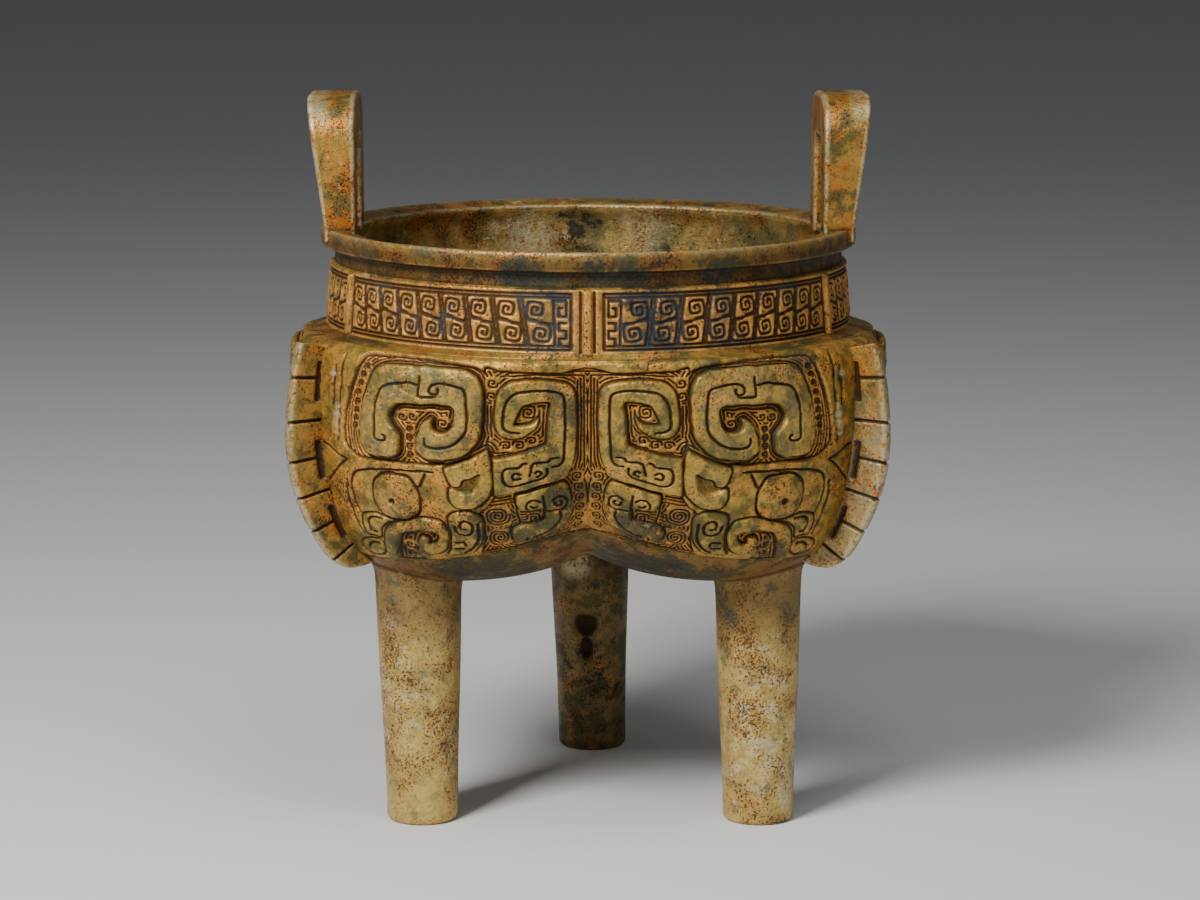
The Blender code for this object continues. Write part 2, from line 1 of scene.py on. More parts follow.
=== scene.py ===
# %% [markdown]
# # A bronze ding, cast, buried and cleaned
#
# A ding is a cooking tripod of cast bronze. This one has a bowl with three lobes on three
# straight legs, a band of spirals round its neck, a flat rim with two loop handles, and on
# each lobe an animal mask in relief with a notched flange for its nose.
# Metal, soil and cleaning have left a skin of tan, orange, olive and black on it.
#
# The solid vessel has the true shape and the larger relief. This lesson puts a skin of
# finer relief on it, paints the patina, and lights it. Lengths in the code are millimetres,
# measured from the vessel's own axis, until a mesh is made.

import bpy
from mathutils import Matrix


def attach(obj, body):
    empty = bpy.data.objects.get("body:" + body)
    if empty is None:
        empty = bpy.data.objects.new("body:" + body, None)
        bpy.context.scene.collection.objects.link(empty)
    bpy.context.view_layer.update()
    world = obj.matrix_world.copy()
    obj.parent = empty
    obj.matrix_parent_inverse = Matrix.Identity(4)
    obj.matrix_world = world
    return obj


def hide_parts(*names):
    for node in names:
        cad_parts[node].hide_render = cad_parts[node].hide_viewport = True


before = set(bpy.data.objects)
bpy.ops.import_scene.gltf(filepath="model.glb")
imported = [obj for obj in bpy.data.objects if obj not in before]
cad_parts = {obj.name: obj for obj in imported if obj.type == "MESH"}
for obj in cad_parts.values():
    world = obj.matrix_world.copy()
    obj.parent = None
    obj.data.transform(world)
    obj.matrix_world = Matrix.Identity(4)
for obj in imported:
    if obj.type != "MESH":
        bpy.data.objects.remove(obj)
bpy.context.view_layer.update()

# %% [markdown]
# ## The camera
#
# The photograph looks a little down on the vessel from about a metre away, with a long lens.
# The place, tilt and lens come from fitting the rim, the band's lines and the feet to the
# photograph, so a shape that is right in millimetres is right in the picture as well.

# %% Set up the camera
import math

import bpy
import numpy as np
from mathutils import Vector

MM = 0.001
AXIS_Y = -11.065

camera_data = bpy.data.cameras.new("camera")
camera_data.lens = 106.14
camera_data.sensor_width = 36.0
camera = bpy.data.objects.new("camera", camera_data)
camera.location = (0.00351, -1.06448 + AXIS_Y * MM, 0.29402)
camera.rotation_euler = (math.radians(80.058), 0.0, 0.0)
bpy.context.scene.collection.objects.link(camera)
bpy.context.scene.camera = camera
print("the camera stands", round(-camera.location.y, 3), "m in front of the vessel")

# %% [markdown]
# ## The floor and the light
#
# A museum photographs a bronze on a wide pale floor that curves up far behind it, under a
# large soft lamp high on the left and a weak one on the right. The lamps hang close to the
# vessel, so the floor darkens by itself towards the back. Here the curve runs all the way
# round, so every side of the vessel is seen in front of the same paper.

# %% Sweep the floor up into a round backdrop
FLOOR_R, SWEEP_R, SWEEP_TOP, SWEEP_STEPS, SWEEP_SIDES = 5.4, 1.4, 2.4, 14, 96
sweep = [(0.4, 0.0), (1.2, 0.0), (2.6, 0.0), (FLOOR_R, 0.0)]
for turn in np.linspace(0, math.pi / 2, SWEEP_STEPS)[1:]:
    sweep.append((FLOOR_R + SWEEP_R * math.sin(turn), SWEEP_R * (1 - math.cos(turn))))
sweep.append((FLOOR_R + SWEEP_R, SWEEP_TOP))

points, faces = [(0.0, 0.0, 0.0)], []
for reach, z in sweep:
    for side in range(SWEEP_SIDES):
        turn = 2 * math.pi * side / SWEEP_SIDES
        points.append((reach * math.cos(turn), reach * math.sin(turn), z))
for side in range(SWEEP_SIDES):
    beside = (side + 1) % SWEEP_SIDES
    faces.append((0, 1 + side, 1 + beside))
    for row in range(len(sweep) - 1):
        near, far = 1 + row * SWEEP_SIDES, 1 + (row + 1) * SWEEP_SIDES
        faces.append((near + side, far + side, far + beside, near + beside))
floor_mesh = bpy.data.meshes.new("studio_floor")
floor_mesh.from_pydata(points, [], faces)
floor_mesh.shade_smooth()
floor = bpy.data.objects.new("studio_floor", floor_mesh)
bpy.context.scene.collection.objects.link(floor)
paper = bpy.data.materials.new("paper")
paper.use_nodes = True
paper.node_tree.nodes["Principled BSDF"].inputs["Base Color"].default_value = (0.78, 0.78, 0.78, 1)
paper.node_tree.nodes["Principled BSDF"].inputs["Roughness"].default_value = 0.85
floor_mesh.materials.append(paper)
print("the paper has", len(faces), "faces")

# %% Hang the lamps
LAMPS = (
    ("lamp_key", (-0.46, -0.64, 0.74), 0.32, 12.9, (1.0, 0.985, 0.96)),
    ("lamp_fill", (0.85, -0.95, 0.5), 0.7, 2.1, (0.96, 0.98, 1.0)),
    ("lamp_top", (0.12, -0.26, 0.85), 0.35, 1.8, (1.0, 1.0, 1.0)),
)
AIM = Vector((0.0, 0.0, 0.11))

for name, place, size, power, tint in LAMPS:
    lamp_data = bpy.data.lights.new(name, "AREA")
    lamp_data.shape = "SQUARE"
    lamp_data.size = size
    lamp_data.energy = power
    lamp_data.color = tint
    lamp = bpy.data.objects.new(name, lamp_data)
    lamp.location = place
    lamp.rotation_euler = (AIM - Vector(place)).to_track_quat("-Z", "Y").to_euler()
    bpy.context.scene.collection.objects.link(lamp)

sky = bpy.data.worlds.new("studio_air")
sky.use_nodes = True
sky.node_tree.nodes["Background"].inputs["Color"].default_value = (0.75, 0.77, 0.80, 1)
sky.node_tree.nodes["Background"].inputs["Strength"].default_value = 0.10
bpy.context.scene.world = sky
print("hung", len(LAMPS), "lamps")

# %% [markdown]
# ## The form of the bowl
#
# Two meridians give the bowl: one runs down the middle of a lobe, the other down the cleft
# between two lobes. Between them the wall swings from one to the other as three equal
# circles in a ring would. The mouth is a little wider from handle to handle than from front
# to back. These are the same named values that the solid vessel is made from, so a skin
# that is laid on this form fits the solid.

# %% Name the sizes of the vessel
RIM_TOP_Z, RIM_LIP_DROP, RIM_HEIGHT = 177.0, 1.7, 5.7
RIM_OUTER_R, RIM_INNER_R = 77.6, 69.0
NECK_OUTER_R, NECK_INNER_R = 74.9, 71.2
BAND_TOP_R, BAND_TOP_Z = 76.3, 166.0
BAND_FOOT_R, BAND_FOOT_Z = 77.7, 148.2
WALL = 3.5
OVAL, OVAL_LOW_Z, OVAL_FULL_Z = 0.022, 120.0, 148.0
HANDLE_SWELL, HANDLE_SWELL_DEG = 1.2, 16.0
LEG_AZIMUTHS = (90.0, 210.0, 330.0)
LOBE_OFFSET, LOBE_ROUND, CLEFT_SOFTNESS = 32.0, 56.0, 3.0
HALF_ANGLE = 60.0

LOBE_MERIDIAN = (
    (BAND_FOOT_R, BAND_FOOT_Z), (81.5, 147.5), (86.0, 146.2), (88.5, 143.2), (89.6, 134.0),
    (89.8, 124.0), (89.0, 113.0), (86.9, 102.0), (83.3, 92.3), (78.4, 84.6), (70.5, 78.4),
    (60.0, 74.8), (46.0, 73.8), (24.0, 75.6), (0.0, 78.5),
)
CLEFT_MERIDIAN = (
    (BAND_FOOT_R, BAND_FOOT_Z), (77.7, 146.7), (77.4, 145.1), (76.9, 143.2), (75.2, 134.0),
    (72.8, 124.8), (69.6, 115.4), (65.4, 106.6), (60.6, 99.4), (55.5, 94.1), (47.5, 88.0),
    (38.0, 83.4), (28.0, 80.8), (15.0, 79.3), (0.0, 78.5),
)
SHEET_TOP_STATION, SHEET_ZERO_STATION, SHEET_FOOT_STATION = 1, 3, 9
LAST_STATION = len(LOBE_MERIDIAN) - 1
print("each meridian has", len(LOBE_MERIDIAN), "named points")


# %% Draw smooth curves through named points
def smooth_path(points, steps, closed=False):
    """Points on a Catmull-Rom curve through the given points, with this many steps a span."""
    knots = np.asarray(points, float)
    if closed:
        padded = np.vstack([knots[-1:], knots, knots[:2]])
    else:
        padded = np.vstack([2 * knots[0] - knots[1], knots, 2 * knots[-1] - knots[-2]])
    at = np.linspace(0, 1, steps, endpoint=False)[:, None]
    spans = []
    for before, start, end, after in zip(padded, padded[1:], padded[2:], padded[3:]):
        bend = 2 * before - 5 * start + 4 * end - after
        twist = 3 * start - before - 3 * end + after
        spans.append(0.5 * (2 * start + (end - before) * at + bend * at**2 + twist * at**3))
    return np.vstack(spans + [knots[:1] if closed else knots[-1:]])


CURVE_STEPS = 40
LOBE_CURVE = smooth_path(LOBE_MERIDIAN, CURVE_STEPS)
CLEFT_CURVE = smooth_path(CLEFT_MERIDIAN, CURVE_STEPS)


def on_curve(curve, station):
    """The place on a drawn curve at a station, which may lie between two named points."""
    at = np.asarray(station, float) * CURVE_STEPS
    index = np.arange(len(curve))
    return np.stack([np.interp(at, index, curve[:, i]) for i in (0, 1)], axis=-1)


def inward(curve):
    """The same curve moved into the metal by the thickness of the wall."""
    along = np.gradient(curve, axis=0)
    along[-1] = (-1.0, 0.0)
    length = np.hypot(along[:, 0], along[:, 1])[:, None]
    across = np.stack([along[:, 1], -along[:, 0]], axis=1) / length
    return np.maximum(curve + across * WALL, (0.0, -np.inf))


LOBE_INNER, CLEFT_INNER = inward(LOBE_CURVE), inward(CLEFT_CURVE)
print("the wall is", WALL, "mm thick")


# %% Swing the meridians round the bowl
def smooth_step(value, low, high):
    """0 below low, 1 above high, and a soft S between them."""
    share = np.clip((np.asarray(value, float) - low) / (high - low), 0, 1)
    return share * share * (3 - 2 * share)


def lobe_share(azimuth):
    """1 over the middle of a lobe and 0 in a cleft, as three circles in a ring would give."""
    turned = (np.asarray(azimuth, float) - LEG_AZIMUTHS[0] + HALF_ANGLE) % 120
    from_cleft = np.hypot(HALF_ANGLE - np.abs(turned - HALF_ANGLE), CLEFT_SOFTNESS) - CLEFT_SOFTNESS
    from_cleft *= HALF_ANGLE / (math.hypot(HALF_ANGLE, CLEFT_SOFTNESS) - CLEFT_SOFTNESS)
    turn = np.radians(HALF_ANGLE - from_cleft)
    reach = LOBE_OFFSET * np.cos(turn) + np.sqrt(LOBE_ROUND**2 - (LOBE_OFFSET * np.sin(turn)) ** 2)
    least = LOBE_OFFSET / 2 + math.sqrt(LOBE_ROUND**2 - 0.75 * LOBE_OFFSET**2)
    return (reach - least) / (LOBE_OFFSET + LOBE_ROUND - least)


def ring_point(azimuth, radius, height, swell=0.0):
    """A point of the vessel, with the mouth's slight oval and the swell under a handle."""
    turn = np.radians(azimuth)
    share = np.clip((height - OVAL_LOW_Z) / (OVAL_FULL_Z - OVAL_LOW_Z), 0, 1)
    off_handle = np.degrees(np.arcsin(np.abs(np.sin(turn))))
    bulge = swell * np.exp(-((off_handle / HANDLE_SWELL_DEG) ** 2))
    reach = radius * (1 + OVAL * share * np.cos(2 * turn)) + bulge
    return np.stack([reach * np.cos(turn), reach * np.sin(turn), height + 0 * reach], axis=-1)


def wall_point(azimuth, station, lobe=LOBE_CURVE, cleft=CLEFT_CURVE):
    share = lobe_share(azimuth)[..., None]
    profile = on_curve(cleft, station) * (1 - share) + on_curve(lobe, station) * share
    return ring_point(azimuth, profile[..., 0], profile[..., 1])


def wall_normal(azimuth, station):
    """The direction out of the wall, worked out from its neighbours."""
    beside = wall_point(azimuth + 0.5, station) - wall_point(azimuth - 0.5, station)
    below = wall_point(azimuth, station + 0.05) - wall_point(azimuth, station - 0.05)
    normal = np.cross(below, beside)
    return normal / np.linalg.norm(normal, axis=-1)[..., None]


print("a lobe reaches", wall_point(np.array([210.0]), np.array([5.0])).round(1)[0], "mm")

# %% [markdown]
# ## The flat drawing of half a mask
#
# A caster draws the mask once, on a flat sheet, and carves it into the clay model six times,
# because both halves of each mask are the same drawing. The sheet runs across from the
# flange, 0, to the cleft, 88, and down from the top border, 0, to the foot of the mask, 66.
# The relief is a height for each place on the sheet. Raised figures are flat topped with
# rounded edges, the ground between them is cut with spirals, and thin lines are cut into the
# figures. Working on heights keeps every edge soft in the way of cast wax or clay.

# %% Lay out the sheet
SHEET_WIDTH, SHEET_HEIGHT = 88.0, 66.0
SHEET_FOOT = 67.4
SHEET_PITCH = 0.2


def sheet_station(down):
    """The station on the meridians of a point this far down the sheet, and the top of it."""
    fine = np.linspace(SHEET_TOP_STATION, SHEET_FOOT_STATION + 1, 450)
    middle = 0.7 * on_curve(LOBE_CURVE, fine) + 0.3 * on_curve(CLEFT_CURVE, fine)
    steps = np.hypot(*np.diff(middle, axis=0).T)
    length = np.concatenate([[0.0], np.cumsum(steps)])
    zero = np.interp(SHEET_ZERO_STATION, fine, length)
    scale = SHEET_HEIGHT / (np.interp(SHEET_FOOT_STATION, fine, length) - zero)
    return np.interp(down, (length - zero) * scale, fine), -zero * scale


SHEET_TOP = float(sheet_station(0.0)[1])
sheet_us = np.arange(0, SHEET_WIDTH + SHEET_PITCH, SHEET_PITCH)
sheet_vs = np.arange(SHEET_TOP, SHEET_FOOT + 2 * SHEET_PITCH, SHEET_PITCH)
ACROSS, DOWN = np.meshgrid(sheet_us, sheet_vs)
print("the sheet is", ACROSS.shape[1], "by", ACROSS.shape[0], "heights, from", round(SHEET_TOP, 2))


# %% Measure distances on a drawing
def line_distance(paths, us, vs, reach):
    """Distance from each place of a grid to the nearest of these lines, up to a reach."""
    pitch = us[1] - us[0]
    best = np.full((len(vs), len(us)), float(reach))
    for path in paths:
        for start, end in zip(path, path[1:]):
            low, high = np.minimum(start, end) - reach, np.maximum(start, end) + reach
            i0, i1 = (int(np.clip((v - us[0]) / pitch, 0, len(us))) for v in (low[0], high[0] + pitch))
            j0, j1 = (int(np.clip((v - vs[0]) / pitch, 0, len(vs))) for v in (low[1], high[1] + pitch))
            if i1 <= i0 or j1 <= j0:
                continue
            step = end - start
            x, y = us[None, i0:i1] - start[0], vs[j0:j1, None] - start[1]
            share = np.clip((x * step[0] + y * step[1]) / max(step @ step, 1e-9), 0, 1)
            gap = np.hypot(x - share * step[0], y - share * step[1])
            best[j0:j1, i0:i1] = np.minimum(best[j0:j1, i0:i1], gap)
    return best


def inside(outline, across, down):
    """True where a place lies inside a closed outline."""
    found = np.zeros(across.shape, bool)
    for (x0, y0), (x1, y1) in zip(outline, outline[1:]):
        if y0 == y1:
            continue
        spans = (y0 > down) != (y1 > down)
        found ^= spans & (across < (x1 - x0) * (down - y0) / (y1 - y0) + x0)
    return found


def shape_distance(points, reach=8.0, steps=6):
    """Distance to a smooth closed outline on the sheet, negative inside it."""
    outline = smooth_path(points, steps, closed=True)
    gap = line_distance([outline], sheet_us, sheet_vs, reach)
    return np.where(inside(outline, ACROSS, DOWN), -gap, gap)


def ribbon_distance(ribbon, steps=6):
    """Distance to the edge of a ribbon of changing width, negative inside it."""
    path = smooth_path(ribbon, steps)
    best = np.full(ACROSS.shape, np.inf)
    for start, end in zip(path, path[1:]):
        step = end[:2] - start[:2]
        share = (ACROSS - start[0]) * step[0] + (DOWN - start[1]) * step[1]
        share = np.clip(share / max(step @ step, 1e-9), 0, 1)
        gap = np.hypot(ACROSS - start[0] - share * step[0], DOWN - start[1] - share * step[1])
        best = np.minimum(best, gap - start[2] - share * (end[2] - start[2]))
    return best


print("distances are worked out on the sheet's", SHEET_PITCH, "mm grid")

# %% [markdown]
# ### The raised figures
#
# The mask has a great C-shaped horn, an eye, an ear with a hollow, a hooked upper jaw and a
# cheek. Beside the horn, along the cleft, hangs a dragon in two parts: its head and curled
# crest above, its body below. Each is drawn once as an outline, or as a ribbon where it is
# a band that curls. An edge that stands proud of a wall seen aslant looks shifted, as a
# raised letter does on a bottle. The outlines are noted down where they are seen, and one
# function moves each back to its true place on the wall.

# %% Move raised edges back from where they are seen
EYE_PLACE = np.array(camera.location) / MM - (0.0, AXIS_Y, 0.0)


def set_back(points, height):
    """True places on the sheet of points that were noted where they are seen, on an edge this high."""
    seen = np.asarray(points, float)
    u, v = seen[:, 0], seen[:, 1]

    def place(across, down):
        return wall_point(210.0 + across * HALF_ANGLE / SHEET_WIDTH, sheet_station(down)[0])

    normal = wall_normal(210.0 + u * HALF_ANGLE / SHEET_WIDTH, sheet_station(v)[0])
    look = place(u, v) - EYE_PLACE
    slip = look / (look * normal).sum(axis=1)[:, None] - normal
    moved = seen.copy()
    ways = (place(u + 0.5, v) - place(u - 0.5, v), place(u, v + 0.5) - place(u, v - 0.5))
    for column, along in enumerate(ways):
        moved[:, column] += height * (slip * along).sum(axis=1) / (along * along).sum(axis=1)
    return moved


print("an edge 2 mm high at 20 across moves by", set_back(((20.0, 20.0),), 2.0).round(2)[0] - 20, "mm")

# %% Draw the outlines of the figures
HORN = (
    (17.4, 25.1), (17.3, 21.8), (18.2, 16.2), (19.1, 11.8), (20.3, 8), (22, 3), (24.6, 0.2), (28, -1),
    (33, -1.5), (40, -1.6), (46, -1.4), (51, -0.7), (54.2, 0.9), (55.8, 3), (56.7, 6), (56.9, 10),
    (56.8, 14), (56.4, 18), (55.7, 21.2), (54.2, 24.4), (52, 27.1), (49.2, 28.8), (46, 29.7),
    (42.2, 29.8), (39.4, 29.3), (37.7, 28), (36.7, 26.2), (36.4, 24), (36.7, 22), (37.4, 20.4),
    (38.2, 18.4), (39.7, 16.5), (41.3, 15.5), (42.2, 15.9), (42, 17.4), (42.1, 19), (42.8, 19.9),
    (44.4, 20.3), (46.3, 19.8), (47.4, 18.4), (47.9, 16.8), (48.3, 14.6), (48.2, 12.6), (47.4, 11.6),
    (45.6, 11.3), (42, 11.4), (37, 11.6), (33.2, 11.8), (31, 12.2), (29.6, 13.2), (28.7, 14.6),
    (28.2, 16), (28.2, 17.1), (28.8, 18.2), (29.6, 19.3), (30.6, 20.6), (31.4, 22), (31.6, 23.6),
    (31.3, 25.8), (30.8, 27.4), (29.8, 28.9), (28.2, 29.8), (25.4, 30.1), (22.1, 29.8), (19.4, 28.9),
    (17.9, 27.3),
)
UPPER_DRAGON = (
    (60.3, 18), (60.2, 14), (60.7, 9), (62, 5.5), (64.5, 3.2), (68, 2.4), (72, 2.3), (77, 2.8),
    (81, 3.6), (83.3, 5), (84.3, 7.5), (84.5, 12), (84.6, 18), (84.2, 24), (83.4, 30), (82, 34),
    (80.5, 36.5), (78.5, 37.8), (72, 39.3), (64, 41.3), (58.3, 41.9), (58, 40), (58.8, 30),
    (59.2, 28.4), (66, 27.2), (73.5, 25), (74.8, 23.5), (75.6, 15), (76.2, 10.2), (74.5, 9.7),
    (70.5, 10.1), (68.3, 11), (66.3, 15), (66, 17), (70, 16.9), (73, 14.8), (72.5, 17.5),
    (70.5, 20), (67.5, 21.6), (64.5, 21.9), (62, 21),
)
EAR = (
    (44.4, 32.2), (47.7, 30.9), (51.6, 29.2), (54.9, 27.6), (57.3, 26.2), (58.1, 29), (58.2, 33),
    (57.9, 38.6), (57.1, 41.3), (55.4, 44.1), (53.2, 46), (50.4, 47.1), (47.7, 47.1), (45.7, 46.3),
    (44.7, 44.7), (44.4, 42), (44.8, 39.6), (45.6, 38.5), (44.6, 36.5), (44.2, 34.2),
)
EAR_HOLLOW = (
    (45.6, 38.6), (48.4, 38.1), (49.3, 36.5), (50.6, 35.8), (52.4, 35.6), (54.6, 34.4), (54.9, 36.4),
    (54.2, 38.8), (52.6, 40.8), (50.4, 42.2), (48.2, 41.6), (46.4, 40.6),
)
LOWER_DRAGON = (
    (64.3, 43.6), (66.5, 42.8), (70.5, 42), (74, 41.2), (77, 40.2), (79.6, 40), (81.2, 41.4),
    (82.2, 44), (82.7, 48), (82.7, 52), (82.2, 56), (81.2, 59), (79.5, 61.5), (76.5, 63.2),
    (73, 64.4), (69, 65.2), (64.5, 65.6), (61.6, 64.8), (60.9, 62), (61.3, 59.3), (62.6, 57.8),
    (65, 56.9), (68, 56.9), (71, 56.6), (72.6, 55.6), (73, 53.5), (72.8, 51.4), (71.8, 50.6),
    (68, 50.6), (65.2, 50), (64.2, 47.8), (64, 45.5),
)
JAW = (
    (17.8, 66.5, 2.3), (20, 61.3, 2.5), (22.2, 57.2, 2.4), (25.6, 54.6, 2.1), (29.9, 53.6, 2.0),
    (35.4, 52.9, 2.4), (38.8, 53.8, 2.3), (39.7, 57.2, 1.6), (38.4, 61, 1.9), (35, 63, 2.1),
    (32, 61.7, 2.0), (32.4, 59.4, 1.6), (33.9, 58.6, 0.8),
)
CHEEK = (
    (42.5, 51.6), (43, 49.9), (44.4, 48.6), (46.3, 48), (48.6, 47.9), (51, 48.8), (52.4, 50.8),
    (52.9, 53.6), (52.7, 56.9), (51.8, 60.2), (49.9, 63.4), (47.1, 66), (44, 66.6), (40.5, 66.4),
    (38.7, 65.8), (40.4, 63.6), (41.4, 60.8), (42.1, 58), (42.5, 55.4), (42.5, 53.4),
)
LEAF = (
    (13.2, 50.5), (15.2, 49.8), (18.6, 49.3), (21.3, 49.9), (23.4, 50.8), (25.2, 51.4), (22.4, 52.5),
    (20, 54.1), (18.6, 56), (17.6, 58.2), (16.2, 58), (14.3, 57.6), (12.6, 57.8), (11.8, 56.6),
    (12.3, 53.2),
)
TUSK = (
    (6.6, 61.4), (10.5, 59.7), (13.5, 59.2), (16.2, 59.4), (17.2, 60.8), (16.6, 63), (14.8, 65.2),
    (11.5, 66.4), (7, 66.4), (5.4, 64),
)
EYE_CENTRE, EYE_HALF, EYE_SQUARENESS = (28.5, 42.4), (7.6, 7.9), 2.5
PUPIL, PUPIL_R = (27.5, 43.5), 1.35
FIGURE_TOP = {
    "horn": 1.9, "upper": 1.75, "ear": 1.7, "lower": 1.6, "jaw": 1.6, "cheek": 1.5, "leaf": 1.0, "tusk": 1.0
}

horn_gap = shape_distance(set_back(HORN, FIGURE_TOP["horn"]))
upper_gap = shape_distance(UPPER_DRAGON)
ear_gap = shape_distance(set_back(EAR, FIGURE_TOP["ear"]))
lower_gap = shape_distance(set_back(LOWER_DRAGON, FIGURE_TOP["lower"]))
jaw_gap = ribbon_distance(set_back(JAW, FIGURE_TOP["jaw"]))
cheek_gap = shape_distance(set_back(CHEEK, FIGURE_TOP["cheek"]))
leaf_gap = shape_distance(set_back(LEAF, FIGURE_TOP["leaf"]))
tusk_gap = shape_distance(set_back(TUSK, FIGURE_TOP["tusk"]))
figure_gaps = (horn_gap, upper_gap, ear_gap, lower_gap, jaw_gap, cheek_gap, leaf_gap, tusk_gap)
nearest_figure = np.minimum.reduce(figure_gaps)
print("figures cover", round(float((nearest_figure < 0).mean()) * 100), "per cent of the sheet")

# %% [markdown]
# ### The fields
#
# The skin of the face is smooth: forehead, brow, cheek. Around the horn and along the cleft
# the face is sunk to a lower field, and that field is where the spirals go. A shallower step
# runs round the eye, under the edge of the brow.

# %% Sink the fields
FACE_LEVEL, FIELD_LEVEL, UNDER_HORN_LEVEL = 0.75, 0.0, -0.55
HORN_FIELD = (
    (11.5, 25), (11.7, 21), (12.6, 16), (14, 10), (15.6, 5), (17.6, 0.2), (19.8, -2.6), (23.5, -3.6),
    (28, -3.8), (34, -3.8), (42, -3.4), (50, -2.3), (56, -1.2), (58.5, 2), (59.2, 8), (59, 16),
    (58.8, 22), (58, 24.6), (56.4, 27), (52, 29.6), (46, 31), (40, 31.2), (30, 31), (22, 31),
    (16.5, 30.2), (13, 28.2),
)
SIDE_FIELD = (
    (57.0, -1.2), (62, -0.8), (70, -0.2), (80, 0.1), (91, 0.2), (91, 30), (91, 66.3), (80, 66.3),
    (66, 66.3), (50.5, 66.3), (49.5, 65.6), (51.5, 61.5), (52.4, 57), (52.4, 52), (52.0, 48.6),
    (55.8, 45.0), (58.2, 41.0), (59.0, 34.0), (58.6, 28.0), (57.4, 24.0), (58.0, 12.0),
)
JAW_FIELD = (
    (21.5, 67), (22.8, 62), (24.8, 57.4), (28, 55.4), (34, 54.9), (38.4, 55.3), (39.3, 58),
    (37.5, 61), (33, 62), (30.4, 62), (30.2, 64.5), (31.5, 67),
)
BROW_EDGE = (
    (40.9, 33.6), (36, 33.6), (29.9, 33.6), (24, 33.9), (19.9, 34.2), (16, 35.1), (13.8, 36.2),
    (12.4, 38), (11.8, 40.8), (11.6, 44.7), (12.2, 48.2),
)
EYE_FIELD = (
    *BROW_EDGE, (13.6, 50.0), (21, 49.2), (24, 50.2), (26.5, 50.8), (30, 50.8), (33.5, 49.6),
    (35.6, 46.5), (36.4, 43), (36.5, 39.5), (38.4, 34.8),
)
EYE_FIELD_LEVEL = 0.55

horn_field = shape_distance(HORN_FIELD)
side_field = shape_distance(SIDE_FIELD)
jaw_field = shape_distance(JAW_FIELD)
eye_field = shape_distance(EYE_FIELD)
field_gap = np.minimum.reduce((horn_field, side_field, jaw_field))
level = FIELD_LEVEL + (FACE_LEVEL - FIELD_LEVEL) * smooth_step(field_gap, -0.55, 0.25)
by_the_eye = EYE_FIELD_LEVEL + (FACE_LEVEL - EYE_FIELD_LEVEL) * smooth_step(eye_field, -0.5, 0.3)
level = np.where(eye_field < 0.4, np.minimum(level, by_the_eye), level)
print("fields cover", round(float((field_gap < 0).mean()) * 100), "per cent of the sheet")

# %% [markdown]
# ### The cut lines
#
# Lines are cut with one tool: each is about a millimetre wide and nearly as deep. The list
# follows the mask from the forehead to the foot of the dragon along the cleft.

# %% List the cut lines
FACE_LINES = (
    ((11, -2), (10.2, 8), (9.6, 16), (9.0, 22), (8.2, 26)),
    ((7.6, 2), (7.0, 9), (6.6, 15)),
    ((0, 28), (3, 28.8), (8, 31), (11.6, 32.1)),
    ((11.6, 32.1), (9, 33.6), (5, 36.8), (0, 40.5)),
    (*BROW_EDGE, (13.2, 50.2)),
    ((38.4, 34.6), (36.2, 38.9)),
    ((10.2, 39), (9.4, 43), (9.2, 48), (9.8, 53), (10.8, 57.5)),
    ((58.4, 42.6), (64, 42.0), (72, 40.2), (79, 38.5), (82.6, 35.5)),
)
HORN_LINES = (
    ((37.9, 4.9), (34.3, 4.8), (31, 5.2), (28.2, 5.8), (26.3, 6.8), (25.2, 8.4), (24.4, 10.7),
     (23.9, 13.4), (23.7, 17.3), (23.4, 21.2), (23.6, 23.4), (24.6, 24.3), (26, 24.3), (27, 23.7),
     (27.1, 22.6), (26.4, 22.1)),
    ((38.3, 2.1), (38.1, 5.7), (37.9, 8.7)),
    ((37.9, 8.7), (39.8, 9), (41.6, 9), (42.9, 8.6)),
    ((42.1, 4.6), (41.3, 5.9), (41.6, 7.6), (42.9, 7.9), (43.8, 7.2), (43.9, 5.9)),
    ((42.1, 4.6), (44.3, 4.3), (47.7, 4.7), (50.4, 5.4), (51.8, 6.5), (52.2, 8.4), (52.2, 12.3),
     (52.1, 17.3), (51.7, 19.6), (50.4, 21.8), (48.8, 23.4), (46.6, 24.8), (43.8, 25.6),
     (41.6, 25.6), (40, 25), (39.3, 23.8), (39.3, 22.4)),
)
